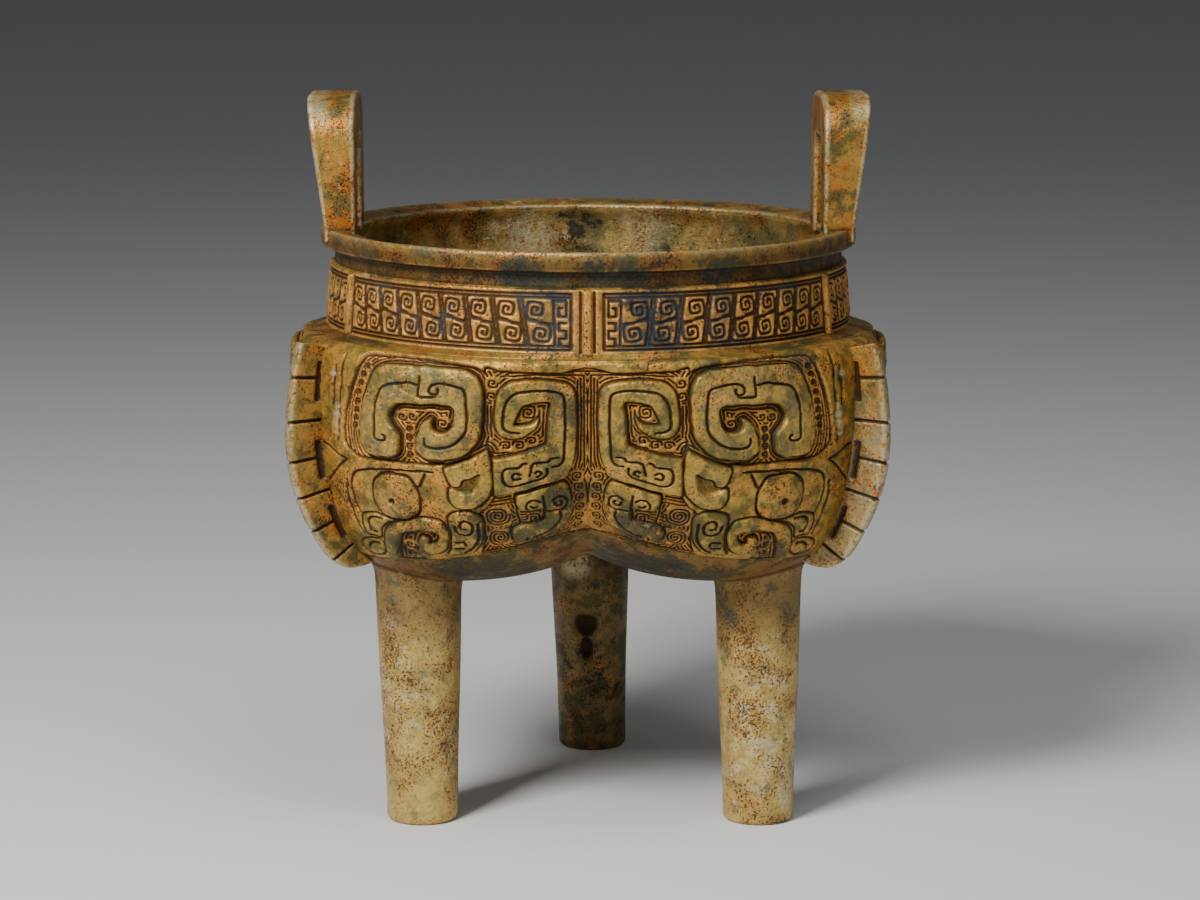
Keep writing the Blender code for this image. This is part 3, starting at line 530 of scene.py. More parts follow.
DRAGON_LINES = (
    ((67, 19.8), (64.5, 19.3), (63, 18), (62.6, 16), (62.8, 14), (63.3, 10.5), (64.8, 8),
     (67.5, 6.3), (72, 5.7), (77, 6.1), (79.8, 7), (80.6, 9), (80.6, 14), (80.5, 20), (80, 26),
     (79.5, 30), (78, 31.8), (76, 32)),
    ((78, 28.8), (75.8, 29), (74.8, 30.2), (71, 30.4), (70, 31.5), (69.5, 33.5), (69, 35)),
    ((68.3, 30.3), (67, 30.6), (65.8, 31.5), (62.8, 31.8), (61.5, 33), (61.2, 35), (61.4, 37),
     (62.8, 38.2), (66, 38), (70, 37), (73, 35.8), (74.3, 34.3), (74.2, 32.5)),
    ((66.2, 35.8), (64.4, 36.0), (63.9, 34.6), (65.0, 33.6), (66.3, 34.2)),
    ((71.3, 35.4), (72.6, 34.4), (71.8, 33.2), (70.9, 33.9)),
    ((72.2, 43.4), (72.4, 46.5), (72.5, 50.2)),
    ((71.2, 45.6), (69.8, 44.7), (68.0, 45.0), (66.9, 46.2), (66.8, 48.0), (67.8, 49.1), (69.6, 49.3)),
    ((68.2, 46.8), (68.9, 47.6), (70.0, 47.4)),
    ((75.2, 45.4), (77.2, 44.2), (79.2, 44.9), (79.9, 46.8), (79.4, 49.0), (77.3, 49.9), (73.4, 50.2)),
    ((75.6, 46.4), (76.0, 47.8), (77.4, 48.1), (78.2, 47.1), (77.6, 46.1)),
    ((77.1, 51.2), (77.3, 53.4), (76.0, 56.0), (73.4, 58.6), (70.4, 60.0), (67.5, 60.6)),
    ((65.4, 60.6), (65.0, 62.4), (65.4, 64.4)),
    ((68.0, 63.6), (68.6, 62.6), (69.8, 62.6), (70.2, 63.7), (69.2, 64.3)),
)
CHEEK_LINES = (
    ((44.2, 53.4), (44.3, 55.4), (45.6, 56.9), (47.6, 57.1), (49.2, 56.0), (49.7, 53.8), (48.9, 52.1),
     (47.2, 51.5), (46.0, 52.6), (46.1, 54.2), (47.4, 54.6)),
    ((51.1, 53.0), (51.0, 57.6), (49.6, 61.0), (47.2, 64.0), (44.4, 65.4)),
    ((43.0, 60.4), (45.6, 60.4), (45.8, 62.0)),
    ((42.2, 62.8), (45.0, 62.9)),
    ((45.4, 38.4), (47.0, 38.6), (48.4, 38.1), (49.3, 36.6), (50.6, 35.9), (52.4, 35.7), (54.4, 34.6)),
    ((16.2, 56.6), (14.4, 56.4), (14.0, 54.2), (15.0, 52.0), (17.4, 51.2), (20.4, 51.3)),
    ((7.6, 64.6), (9.6, 62.4), (12.4, 61.2), (14.6, 61.6)),
)
print("the mask has", sum(map(len, (FACE_LINES, HORN_LINES, DRAGON_LINES, CHEEK_LINES))), "cut lines")

# %% [markdown]
# ### The spirals of the ground
#
# The ground pattern is the squared spiral, cut close together. One function draws it: a
# spiral whose radius follows a rounded square, and each stands where the drawing shows it.
# The rest of the ground is filled as a carver fills it: with close lines that echo the
# outline of the nearest figure, like ripples.


# %% Draw squared spirals
def square_spiral(centre, radius, turns, start=0.0, hand=1, tall=1.0):
    """A spiral on a rounded square, from its outer end to its middle."""
    turn = np.linspace(0, turns * 2 * math.pi, int(turns * 16) + 1)
    reach = radius * (1 - turn / (turns * 2 * math.pi + 0.9))
    angle = hand * turn + math.radians(start)
    power = 5 if radius < 3 else 2.7
    square = (np.abs(np.cos(angle)) ** power + np.abs(np.sin(angle)) ** power) ** (-1 / power)
    return np.stack(
        [centre[0] + reach * square * np.cos(angle), centre[1] + tall * reach * square * np.sin(angle)],
        axis=1,
    )


SPIRAL_PITCH = 1.2
PLACED_SPIRALS = (
    ((57.7, 50.5), 3.8, 0), ((57.1, 60.0), 3.4, 90), ((69.9, 13.2), 2.5, 200), ((45.2, 17.1), 1.9, 0),
    ((59.7, 3.6), 1.6, 0), ((59.5, 7.7), 1.5, 90), ((63.0, 24.5), 1.75, 180),
    ((66.8, 24.4), 1.75, 180), ((70.6, 23.2), 1.6, 180), ((68.9, 53.6), 2.2, 180),
    ((84.4, 37.9), 1.9, 90), ((85.0, 42.6), 1.9, 90), ((85.3, 47.4), 1.9, 90), ((85.3, 52.2), 1.9, 90),
    ((85.0, 57.0), 1.9, 90), ((84.3, 61.8), 1.9, 90), ((28.0, 60.4), 1.6, 0), ((27.4, 64.2), 1.6, 90),
    ((32.9, 15.7), 1.35, 0), ((36.1, 15.4), 1.35, 0), ((35.4, 19.6), 1.1, 90), ((35.3, 22.4), 1.1, 90),
    ((35.2, 25.1), 1.1, 90), ((35.1, 27.8), 1.1, 90),
)
spirals = []
for centre, radius, start in PLACED_SPIRALS:
    spirals.append(square_spiral(centre, radius, max(radius / SPIRAL_PITCH, 1.3), start))
spiral_spots = [(centre[0], centre[1], radius) for centre, radius, _ in PLACED_SPIRALS]

STRIP_SPIRALS, STRIP_R = 8, 1.1
strip_path = smooth_path(((20.4, 0.8), (18.8, 5.8), (17.7, 11.0), (17.1, 16.0), (16.6, 20.4)), 40)
for share in np.linspace(0, 1, STRIP_SPIRALS):
    spot = strip_path[int(share * (len(strip_path) - 1))]
    spirals.append(square_spiral(spot, STRIP_R, 1.4, 120, 1))
    spiral_spots.append((spot[0], spot[1], STRIP_R))
print("placed", len(spirals), "spirals by the drawing")


# %% Echo the outlines over the rest of the ground
ECHO_FIRST, ECHO_PITCH, ECHO_COUNT = 1.3, 1.15, 5
ZONE_MARGIN, ZONE_SQUARENESS = 0.5, 4


def spiral_zone():
    """How far each place lies outside the nearest spiral's own patch, negative inside it."""
    best = np.full(ACROSS.shape, 9.0)
    for cu, cv, radius in spiral_spots:
        x, y = np.abs(ACROSS - cu), np.abs(DOWN - cv)
        around_it = (x**ZONE_SQUARENESS + y**ZONE_SQUARENESS) ** (1 / ZONE_SQUARENESS)
        best = np.minimum(best, around_it - radius - ZONE_MARGIN)
    return best


zone_gap = spiral_zone()
echo_gap = np.min(
    [np.abs(nearest_figure - ECHO_FIRST - ECHO_PITCH * number) for number in range(ECHO_COUNT)], axis=0
)
print("the spirals take", round(float((zone_gap < 0).mean()) * 100), "per cent of the sheet")

BORDER_LINES = [
    np.array(path, float)
    for path in (
        ((84.9, 3.0), (85.1, 18.0), (84.7, 30.0), (83.6, 35.0)),
        ((85.9, 2.4), (86.0, 18.0), (85.7, 30.0), (84.9, 34.6)),
        ((86.9, 1.8), (86.9, 34.5)),
        ((62.0, 1.5), (72.0, 1.0), (86.9, 1.4)),
        ((57.0, -1.3), (62.0, -0.9), (70.0, -0.3), (88.0, 0.0)),
        ((56.5, 44.6), (63.4, 44.0)),
        ((56.2, 45.9), (63.4, 45.6)),
        ((63.9, 45.0), (64.2, 55.0), (64.0, 64.5)),
        ((54.8, 56.2), (62.8, 56.0)),
        ((75.9, 13.0), (75.2, 23.2), (73.8, 24.6), (61.6, 27.0)),
        ((74.6, 13.0), (74.0, 21.6), (72.6, 22.8)),
        ((73.4, 12.6), (73.0, 17.0)),
        ((58.3, 11.0), (58.2, 20.5)),
        ((59.3, 11.0), (59.2, 21.5)),
    )
]
print("drew", len(BORDER_LINES), "border lines")

# %% [markdown]
# ### The height of the mask
#
# All of it now becomes one height for each place on the sheet: the level of the field, then
# the figures on top of it, then the eye as a dome, then every line cut in. A second grid
# keeps how deep a place lies in a groove, and a third how far it lies in the sunk ground. The
# paint uses them later, because soil and dark corrosion stay low when the high places are
# cleaned.

# %% Add up the relief
EDGE_ROUND = 0.95
CUT_HALF, CUT_DEPTH = 0.48, 0.8
SPIRAL_HALF, SPIRAL_DEPTH = 0.36, 0.75
FOOT_HALF, FOOT_DEPTH, FIGURE_EDGE_OUT = 0.42, 0.5, 0.18
FIELD_EDGE_IN, BORDER_CLEAR = 0.45, 0.62
CROWN_RISE, HOLLOW_DEPTH, PUPIL_DEPTH = 0.12, 1.45, 1.2
UNDER_HORN_REACH, UNDER_HORN_SOIL, HOLLOW_SOIL = 1.4, 0.35, 0.45


def cut(distance, half, depth):
    """A groove with a round bottom, as deep as depth in its middle."""
    return depth * np.clip(1 - (distance / half) ** 2, 0, 1) ** 0.7


figures = np.zeros(ACROSS.shape)
for gap, top in zip(figure_gaps, FIGURE_TOP.values()):
    rise = np.sqrt(np.clip(1 - (1 - np.clip(-gap / EDGE_ROUND, 0, 1)) ** 2, 0, 1))
    crown = CROWN_RISE * smooth_step(-gap, 0.6, 3.0)
    figures = np.maximum(figures, (top + crown) * rise)

under_horn = smooth_step(-horn_field, 0.2, 1.2) * smooth_step(horn_gap, -0.2, 0.25)
under_horn *= smooth_step(UNDER_HORN_REACH - horn_gap, 0, 0.7)
height = level + UNDER_HORN_LEVEL * under_horn
height = np.maximum(height, np.where(nearest_figure < 0.0, figures, -9.0))

eye_reach = (
    (np.abs(ACROSS - EYE_CENTRE[0]) / EYE_HALF[0]) ** EYE_SQUARENESS
    + (np.abs(DOWN - EYE_CENTRE[1]) / EYE_HALF[1]) ** EYE_SQUARENESS
) ** (1 / EYE_SQUARENESS)
EYE_RISE, DOME_FLATNESS, DOME_SHOULDER = 1.85, 2.6, 0.8
eye_dome = np.clip(1 - eye_reach**DOME_FLATNESS, 0, 1) ** DOME_SHOULDER
eye_dome = EYE_FIELD_LEVEL + (EYE_RISE - EYE_FIELD_LEVEL) * eye_dome
height = np.where(eye_reach < 1, np.maximum(height, eye_dome), height)
pupil_gap = np.hypot(ACROSS - PUPIL[0], DOWN - PUPIL[1])
ear_hollow = shape_distance(set_back(EAR_HOLLOW, FIGURE_TOP["ear"]))
hollow_depth = smooth_step(-ear_hollow, -0.15, 1.3)
height -= HOLLOW_DEPTH * hollow_depth
print("the relief runs from", round(float(height.min()), 2), "to", round(float(height.max()), 2), "mm")

# %% Cut the lines and spirals
TRACED_LINES = (
    (FACE_LINES, FACE_LEVEL), (HORN_LINES, FIGURE_TOP["horn"]), (CHEEK_LINES, FIGURE_TOP["cheek"])
)
cut_paths = [smooth_path(path, 5) for path in DRAGON_LINES]
for lines, stands in TRACED_LINES:
    cut_paths += [smooth_path(set_back(path, stands), 5) for path in lines]
cut_gap = line_distance(cut_paths, sheet_us, sheet_vs, 1.5)
cut_gap = np.minimum(cut_gap, np.abs(eye_reach - 1.0) * EYE_HALF[0])
spiral_gap = line_distance(spirals, sheet_us, sheet_vs, 1.5)
border_gap = line_distance(BORDER_LINES, sheet_us, sheet_vs, 1.5)
ground = smooth_step(-field_gap, 0.0, 0.4) * smooth_step(nearest_figure, -0.05, 0.2)
ripple_gap = np.where(border_gap < BORDER_CLEAR, border_gap, echo_gap)
ground_gap = np.where(zone_gap < 0, spiral_gap, ripple_gap)
ground_gap = np.minimum(ground_gap, np.abs(field_gap + FIELD_EDGE_IN))
edge_gap = np.abs(nearest_figure - FIGURE_EDGE_OUT)

cuts = cut(cut_gap, CUT_HALF, CUT_DEPTH)
spiral_cuts = cut(ground_gap, SPIRAL_HALF, SPIRAL_DEPTH) * ground
foot_cuts = cut(edge_gap, FOOT_HALF, FOOT_DEPTH)
height -= np.maximum.reduce((cuts, spiral_cuts, foot_cuts))
pupil_pit = np.clip(1 - (pupil_gap / PUPIL_R) ** 2, 0, 1)
height -= PUPIL_DEPTH * pupil_pit

GROOVE = np.clip(np.maximum(cuts / CUT_DEPTH * 1.15, spiral_cuts / SPIRAL_DEPTH), 0, 1)
GROOVE = np.maximum(GROOVE, under_horn * UNDER_HORN_SOIL)
GROOVE = np.maximum.reduce((GROOVE, foot_cuts / FOOT_DEPTH, pupil_pit, HOLLOW_SOIL * hollow_depth))
off_eye = 0.25 + 0.75 * smooth_step(eye_reach, 0.9, 1.02)
FIELD = 0.3 + 0.7 * smooth_step(-field_gap, -0.3, 0.6)
FIELD = FIELD * smooth_step(nearest_figure, -0.4, 0.1) * off_eye
print("the deepest groove lies", round(float(-height.min()), 2), "mm under the wall")


# %% Make the carving a little uneven
def uneven(size, number):
    """Smooth random hills of about this size in millimetres, up to 1 high, on the sheet's grid."""
    rows, columns = ACROSS.shape
    waves = np.hypot(np.fft.fftfreq(rows)[:, None], np.fft.rfftfreq(columns)[None, :]) / SHEET_PITCH
    noise = np.fft.rfft2(np.random.default_rng(number).standard_normal(ACROSS.shape))
    smooth_hills = np.fft.irfft2(noise * np.exp(-((2 * size * waves) ** 2)), s=ACROSS.shape)
    return smooth_hills / np.abs(smooth_hills).max()


STRAY, STRAY_SIZE = 0.5, 2.2
WOBBLE_ACROSS, WOBBLE_DOWN = STRAY * uneven(STRAY_SIZE, 13), STRAY * uneven(STRAY_SIZE, 14)
print("a carver's hand strays by up to", round(float(WOBBLE_ACROSS.max()), 2), "mm")

# %% Fade the mask into the wall
FADE_TOP, FADE_START, FADE_END = -6.4, -3.4, 66.7
END_LINE, END_LINE_HALF, END_LINE_DEPTH = 66.75, 0.45, 0.45
FINE_HILLS, FINE_SIZE, BROAD_HILLS, BROAD_SIZE = 0.25, 1.0, 0.3, 4.0
fade = smooth_step(DOWN, FADE_TOP, FADE_START) * (1 - smooth_step(DOWN, SHEET_HEIGHT, FADE_END))
hills = FINE_HILLS * uneven(FINE_SIZE, 11) + BROAD_HILLS * uneven(BROAD_SIZE, 12)
end_line = END_LINE_DEPTH * np.clip(1 - ((DOWN - END_LINE) / END_LINE_HALF) ** 2, 0, 1)
HEIGHT = (height + hills) * fade - end_line
GROOVE = GROOVE * fade
GROOVE = np.maximum(GROOVE, np.clip(1 - ((DOWN - END_LINE) / 0.5) ** 2, 0, 1))
FIELD = FIELD * fade
print("the mask fades out above", FADE_TOP, "and ends at", SHEET_HEIGHT)

# %% [markdown]
# ## Closed pieces from grids
#
# Each mask half becomes a thin closed slab: a fine front with the relief, a coarse back that
# is buried in the bowl's wall, and narrow strips that join their edges. The bowl, a leg, a
# handle and a flange are tubes of rings with closed ends. A piece also carries a flat layout
# of itself for baking, and four masks for the paint: how deep a groove is, with painted shade
# added to it under the rim, under the bowl and on the legs' upper parts; how far a place lies
# in a sunk field; how much it is rubbed, with a painted sheen added to it on the edges of the
# rim and the flanges; and how stained it is.


# %% Join two edges of different fineness
def strip_between(first, second):
    """Triangles between two rows of corners that run the same way, whatever their counts."""
    made = []
    i = j = 0
    last_i, last_j = len(first) - 1, len(second) - 1
    while i < last_i or j < last_j:
        if j == last_j or (i < last_i and (i + 1) * last_j <= (j + 1) * last_i):
            made.append((first[i], first[i + 1], second[j]))
            i += 1
        else:
            made.append((first[i], second[j + 1], second[j]))
            j += 1
    return made


def grid_quads(index, flip=False):
    """Faces of a grid of corner numbers."""
    a, b, c, d = index[:-1, :-1], index[1:, :-1], index[1:, 1:], index[:-1, 1:]
    order = (a, d, c, b) if flip else (a, b, c, d)
    return np.stack([corner.ravel() for corner in order], axis=1).tolist()


print("two edges of 5 and 3 corners join with", len(strip_between(range(5), range(3))), "triangles")


# %% Turn corners and faces into a piece
ATTRIBUTES = ("groove", "field", "wear", "stain")


def signed_volume(points, faces):
    total = 0.0
    p = np.asarray(points)
    for size in (3, 4):
        chosen = np.array([f for f in faces if len(f) == size], int).reshape(-1, size)
        for k in range(1, size - 1):
            a, b, c = p[chosen[:, 0]], p[chosen[:, k]], p[chosen[:, k + 1]]
            total += float(np.einsum("ij,ij->i", a, np.cross(b, c)).sum())
    return total / 6


def make_piece(name, points, faces, layout, smooth, masks, material):
    """A mesh object from corners in millimetres about the vessel's axis. The layout holds a
    place on the unit square for each corner of each face, in the order of the faces."""
    if signed_volume(points, faces) < 0:
        faces = [face[::-1] for face in faces]
        layout = [places[::-1] for places in layout]
    placed = (np.asarray(points, float) + (0, AXIS_Y, 0)) * MM
    mesh = bpy.data.meshes.new(name)
    mesh.from_pydata(placed.tolist(), [], faces)
    mesh.polygons.foreach_set("use_smooth", smooth)
    unwrapped = mesh.uv_layers.new(name="OFBake")
    flat = np.array([xy for places in layout for xy in places], np.float32).ravel()
    unwrapped.data.foreach_set("uv", flat)
    for title in ATTRIBUTES:
        values = np.asarray(masks.get(title, np.zeros(len(placed))), np.float32)
        mesh.attributes.new(title, "FLOAT", "POINT").data.foreach_set("value", values)
    mesh.update()
    mesh.materials.append(material)
    piece = bpy.data.objects.new(name, mesh)
    bpy.context.scene.collection.objects.link(piece)
    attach(piece, "root")
    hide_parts("ding")
    triangles = sum(len(face) - 2 for face in faces)
    print(name, "has", len(faces), "faces,", triangles, "triangles")
    return piece


# %% Make a slab with a fine front and a coarse back
FRONT_AREA, BACK_AREA = ((0.01, 0.14), (0.98, 0.85)), ((0.01, 0.04), (0.98, 0.08))


def on_layout(area, rows, columns):
    """Places on the unit square for a grid of corners."""
    (x, y), (wide, tall) = area
    xs, ys = np.meshgrid(np.linspace(0, 1, columns), np.linspace(1, 0, rows))
    return np.stack([x + wide * xs, y + tall * ys], axis=-1)


def grid_layout(area, rows, columns):
    """The grid of places, and from it the four corners of each face."""
    places = on_layout(area, rows, columns)
    cells = np.stack([places[:-1, :-1], places[1:, :-1], places[1:, 1:], places[:-1, 1:]], axis=2)
    return places, cells.reshape(-1, 4, 2).tolist()


def slab(name, front, back, masks, material):
    """A closed slab. The front and back are grids of points over the same patch of wall."""
    rows, columns = front.shape[:2]
    back_rows, back_columns = back.shape[:2]
    points = np.vstack([front.reshape(-1, 3), back.reshape(-1, 3)])
    at_front = np.arange(rows * columns).reshape(rows, columns)
    at_back = np.arange(back_rows * back_columns).reshape(back_rows, back_columns) + rows * columns
    places = np.vstack([
        on_layout(FRONT_AREA, rows, columns).reshape(-1, 2),
        on_layout(BACK_AREA, back_rows, back_columns).reshape(-1, 2),
    ])
    faces = grid_quads(at_front)
    smooth = [True] * len(faces)
    faces += grid_quads(at_back, flip=True)
    faces += strip_between(at_front[0], at_back[0])
    faces += strip_between(at_front[-1, ::-1], at_back[-1, ::-1])
    faces += strip_between(at_front[::-1, 0], at_back[::-1, 0])
    faces += strip_between(at_front[:, -1], at_back[:, -1])
    faces = [[int(corner) for corner in face] for face in faces]
    smooth += [False] * (len(faces) - len(smooth))
    layout = [places[face].tolist() for face in faces]
    padded = {}
    for title, values in masks.items():
        padded[title] = np.concatenate([values.ravel(), np.zeros(back_rows * back_columns)])
    return make_piece(name, points, faces, layout, smooth, padded, material)


print("a slab's front takes", FRONT_AREA[1][1], "of its layout's height")


# %% Make a tube of rings
TUBE_AREA, HOOP_AREA = ((0.01, 0.03), (0.98, 0.94)), ((0.01, 0.01), (0.98, 0.98))


def tube(name, rings, masks, material, ends=None):
    """A closed tube. Rings is (rows, columns, 3); the ends close on their middle points."""
    rows, columns = rings.shape[:2]
    ends = ends or (rings[0].mean(axis=0), rings[-1].mean(axis=0))
    points = np.vstack([rings.reshape(-1, 3), np.array(ends)])
    index = np.arange(rows * columns).reshape(rows, columns)
    wrapped = np.hstack([index, index[:, :1]])
    faces = grid_quads(wrapped)
    places, layout = grid_layout(TUBE_AREA, rows, columns + 1)
    low, high = rows * columns, rows * columns + 1
    for i in range(columns):
        faces.append([low, int(wrapped[0, i]), int(wrapped[0, i + 1])])
        layout.append([[places[0, i, 0], 0.99], places[0, i].tolist(), places[0, i + 1].tolist()])
        faces.append([high, int(wrapped[-1, i + 1]), int(wrapped[-1, i])])
        layout.append([[places[-1, i, 0], 0.01], places[-1, i + 1].tolist(), places[-1, i].tolist()])
    padded = {t: np.concatenate([np.asarray(v).ravel(), np.zeros(2)]) for t, v in masks.items()}
    return make_piece(name, points, faces, layout, [True] * len(faces), padded, material)


print("a tube closes on one point at each end")

# %% [markdown]
# ## The patina
#
# Cleaned archaeological bronze is hardly metal to look at. It is a crust: tan and khaki where
# it was rubbed, orange brown from iron in the soil, olive and grey green from copper salts,
# and dark brown or black soil left in the grooves. One node group paints all of that from
# noise in the object's own space and from the four masks, and each material gives it its own
# colours and amounts. The group puts out a colour, a roughness and a height for the bump, so
# the shader itself stays in the material and can be baked.


# %% Mix paint from everyday colour numbers
def paint(red, green, blue):
    """A colour from 0 to 255 numbers, as a shader wants it."""
    parts = []
    for value in (red, green, blue):
        share = value / 255
        parts.append(share / 12.92 if share <= 0.04045 else ((share + 0.055) / 1.055) ** 2.4)
    return (*parts, 1.0)


class Wiring:
    """Short words for adding nodes to a tree and joining them."""

    def __init__(self, tree):
        self.tree = tree

    def node(self, kind, **settings):
        made = self.tree.nodes.new(kind)
        for key, value in settings.items():
            setattr(made, key, value)
        return made

    def feed(self, socket, value):
        if isinstance(value, bpy.types.NodeSocket):
            self.tree.links.new(value, socket)
        else:
            socket.default_value = value

    def maths(self, operation, first, second=0.0, clamp=False):
        made = self.node("ShaderNodeMath", operation=operation, use_clamp=clamp)
        self.feed(made.inputs[0], first)
        self.feed(made.inputs[1], second)
        return made.outputs[0]

    def ramp(self, value, low, high):
        made = self.node("ShaderNodeMapRange", interpolation_type="SMOOTHSTEP", clamp=True)
        for title, given in (("Value", value), ("From Min", low), ("From Max", high)):
            self.feed(made.inputs[title], given)
        return made.outputs[0]

    def mix(self, share, under, over):
        made = self.node("ShaderNodeMix", data_type="RGBA")
        self.feed(made.inputs[0], share)
        self.feed(made.inputs[6], under)
        self.feed(made.inputs[7], over)
        return made.outputs[2]

    def noise(self, place, scale, detail=5.0, rough=0.6, warp=0.0):
        made = self.node("ShaderNodeTexNoise")
        self.feed(made.inputs["Vector"], place)
        made.inputs["Scale"].default_value = scale
        made.inputs["Detail"].default_value = detail
        made.inputs["Roughness"].default_value = rough
        made.inputs["Distortion"].default_value = warp
        return made.outputs["Fac"]


print("tan is", [round(v, 3) for v in paint(170, 140, 85)])

# %% Build the patina group
COLOURS = ("Tan", "Orange", "Olive", "Soil", "Cream", "Black")
MASKS = tuple(title.title() for title in ATTRIBUTES)
AMOUNTS = tuple(title + " Amount" for title in ("Orange", "Olive", "Cream", "Black", "Speck"))
SOCKETS = (
    ("INPUT", "NodeSocketColor", COLOURS), ("INPUT", "NodeSocketFloat", MASKS + AMOUNTS),
    ("OUTPUT", "NodeSocketColor", ("Color",)), ("OUTPUT", "NodeSocketFloat", ("Roughness", "Height")),
)
patina = bpy.data.node_groups.new("patina", "ShaderNodeTree")
for side, kind, titles in SOCKETS:
    for title in titles:
        patina.interface.new_socket(title, in_out=side, socket_type=kind)

w = Wiring(patina)
given = w.node("NodeGroupInput").outputs
result = w.node("NodeGroupOutput").inputs
space = w.node("ShaderNodeTexCoord").outputs["Object"]
shift = w.node("ShaderNodeVectorMath", operation="ADD")
w.feed(shift.inputs[0], space)
shift.inputs[1].default_value = (0.31, 0.17, 0.53)
other = shift.outputs[0]

broad = w.noise(space, 24.0, 3.0, 0.55, 0.6)
cloud = w.noise(space, 70.0, 6.0, 0.62, 0.8)
patch = w.noise(space, 210.0, 5.0, 0.62, 0.4)
grain = w.noise(space, 900.0, 4.0, 0.65)
speck = w.noise(space, 1500.0, 2.0, 0.5)
cloud_b = w.noise(other, 85.0, 6.0, 0.62, 1.0)
patch_b = w.noise(other, 250.0, 5.0, 0.62, 0.3)
print("the patina starts from seven noises")


# %% Weigh noises together and lay colours over each other
def seed(parts, title=None, reach=0.2):
    """A weighted sum of noises, moved up or down by the amount that a material asks for."""
    total = 0.0
    for source, weight in parts:
        total = w.maths("ADD", w.maths("MULTIPLY", source, weight), total)
    if title:
        total = w.maths("ADD", total, w.maths("MULTIPLY", given[title], reach))
    return total


def share_of(value, low, high, most):
    return w.maths("MULTIPLY", w.ramp(value, low, high), most)


def less(share, mask, by):
    """A share held back where a mask is high."""
    return w.maths("MULTIPLY", share, w.maths("SUBTRACT", 1.0, w.maths("MULTIPLY", mask, by)))


orange_seed = seed(((cloud, 0.55), (patch, 0.3), (grain, 0.15), (given["Field"], 0.12)), "Orange Amount")
orange_share = share_of(orange_seed, 0.47, 0.60, 0.9)
colour = w.mix(orange_share, given["Tan"], given["Orange"])

olive_seed = seed(((cloud_b, 0.45), (patch_b, 0.35), (grain, 0.2), (given["Stain"], 0.09)), "Olive Amount")
olive_share = less(share_of(olive_seed, 0.51, 0.58, 0.85), given["Field"], 0.7)
colour = w.mix(olive_share, colour, given["Olive"])

cream_seed = seed(((patch, 0.45), (broad, 0.35), (grain, 0.2)), "Cream Amount")
cream_share = less(share_of(cream_seed, 0.57, 0.64, 0.7), given["Field"], 0.8)
colour = w.mix(cream_share, colour, given["Cream"])

black_seed = seed(((broad, 0.25), (patch_b, 0.5), (grain, 0.25), (given["Stain"], 0.09)), "Black Amount")
black_share = share_of(black_seed, 0.56, 0.62, 0.9)
mottle = share_of(seed(((patch_b, 0.6), (grain, 0.4))), 0.40, 0.56, 0.62)
black_share = w.maths("MAXIMUM", black_share, w.maths("MULTIPLY", given["Stain"], mottle))
colour = w.mix(black_share, colour, given["Black"])

dusk = w.maths("SUBTRACT", 1.0, w.ramp(seed(((patch, 0.5), (grain, 0.5))), 0.36, 0.60))
colour = w.mix(w.maths("MULTIPLY", dusk, 0.45), colour, given["Soil"])
speck_share = share_of(seed(((speck, 0.6), (cloud, 0.4)), "Speck Amount", 0.12), 0.57, 0.62, 0.85)
colour = w.mix(speck_share, colour, given["Soil"])

# the groove mask also carries painted shade under the rim, under the bowl and on the legs' upper parts,
# painted here in the same soil colours
soil_cover = w.maths("MULTIPLY", given["Groove"], w.ramp(patch, 0.10, 0.42))
soil_share = share_of(soil_cover, 0.08, 0.72, 0.93)
silt_seed = seed(((cloud_b, 1.0), (given["Stain"], 0.3)))
silt = w.mix(w.ramp(silt_seed, 0.54, 0.64), given["Soil"], given["Black"])
colour = w.mix(soil_share, colour, silt)
# the wear mask also carries a painted sheen along the rim's and the flanges' edges, painted here in cream
worn = w.maths("MULTIPLY", given["Wear"], w.ramp(seed(((patch_b, 0.5), (grain, 0.5))), 0.40, 0.54))
colour = w.mix(w.maths("MULTIPLY", worn, 0.8), colour, given["Cream"])
w.feed(result["Color"], colour)

rough = w.maths("ADD", 0.27, w.maths("MULTIPLY", grain, 0.18))
rough = w.maths("ADD", rough, w.maths("MULTIPLY", given["Groove"], 0.3))
rough = w.maths("ADD", rough, w.maths("MULTIPLY", olive_share, 0.12))
rough = w.maths("SUBTRACT", rough, w.maths("MULTIPLY", worn, 0.08), clamp=True)
w.feed(result["Roughness"], rough)
tall = seed(((grain, 0.5), (patch, 0.5)))
tall = w.maths("SUBTRACT", tall, w.maths("MULTIPLY", speck_share, 0.5))
w.feed(result["Height"], tall)
print("the patina group has", len(patina.nodes), "nodes")

# %% Mix the finishes of each part
USUAL_COLOURS = (
    paint(174, 142, 62), paint(172, 98, 26), paint(82, 80, 40), paint(50, 29, 11), paint(208, 194, 150),
    paint(42, 45, 38),
)
BUMP_STRENGTH, BUMP_DISTANCE = 0.75, 0.0007
METAL_SHARE, SPECULAR = 0.45, 0.35


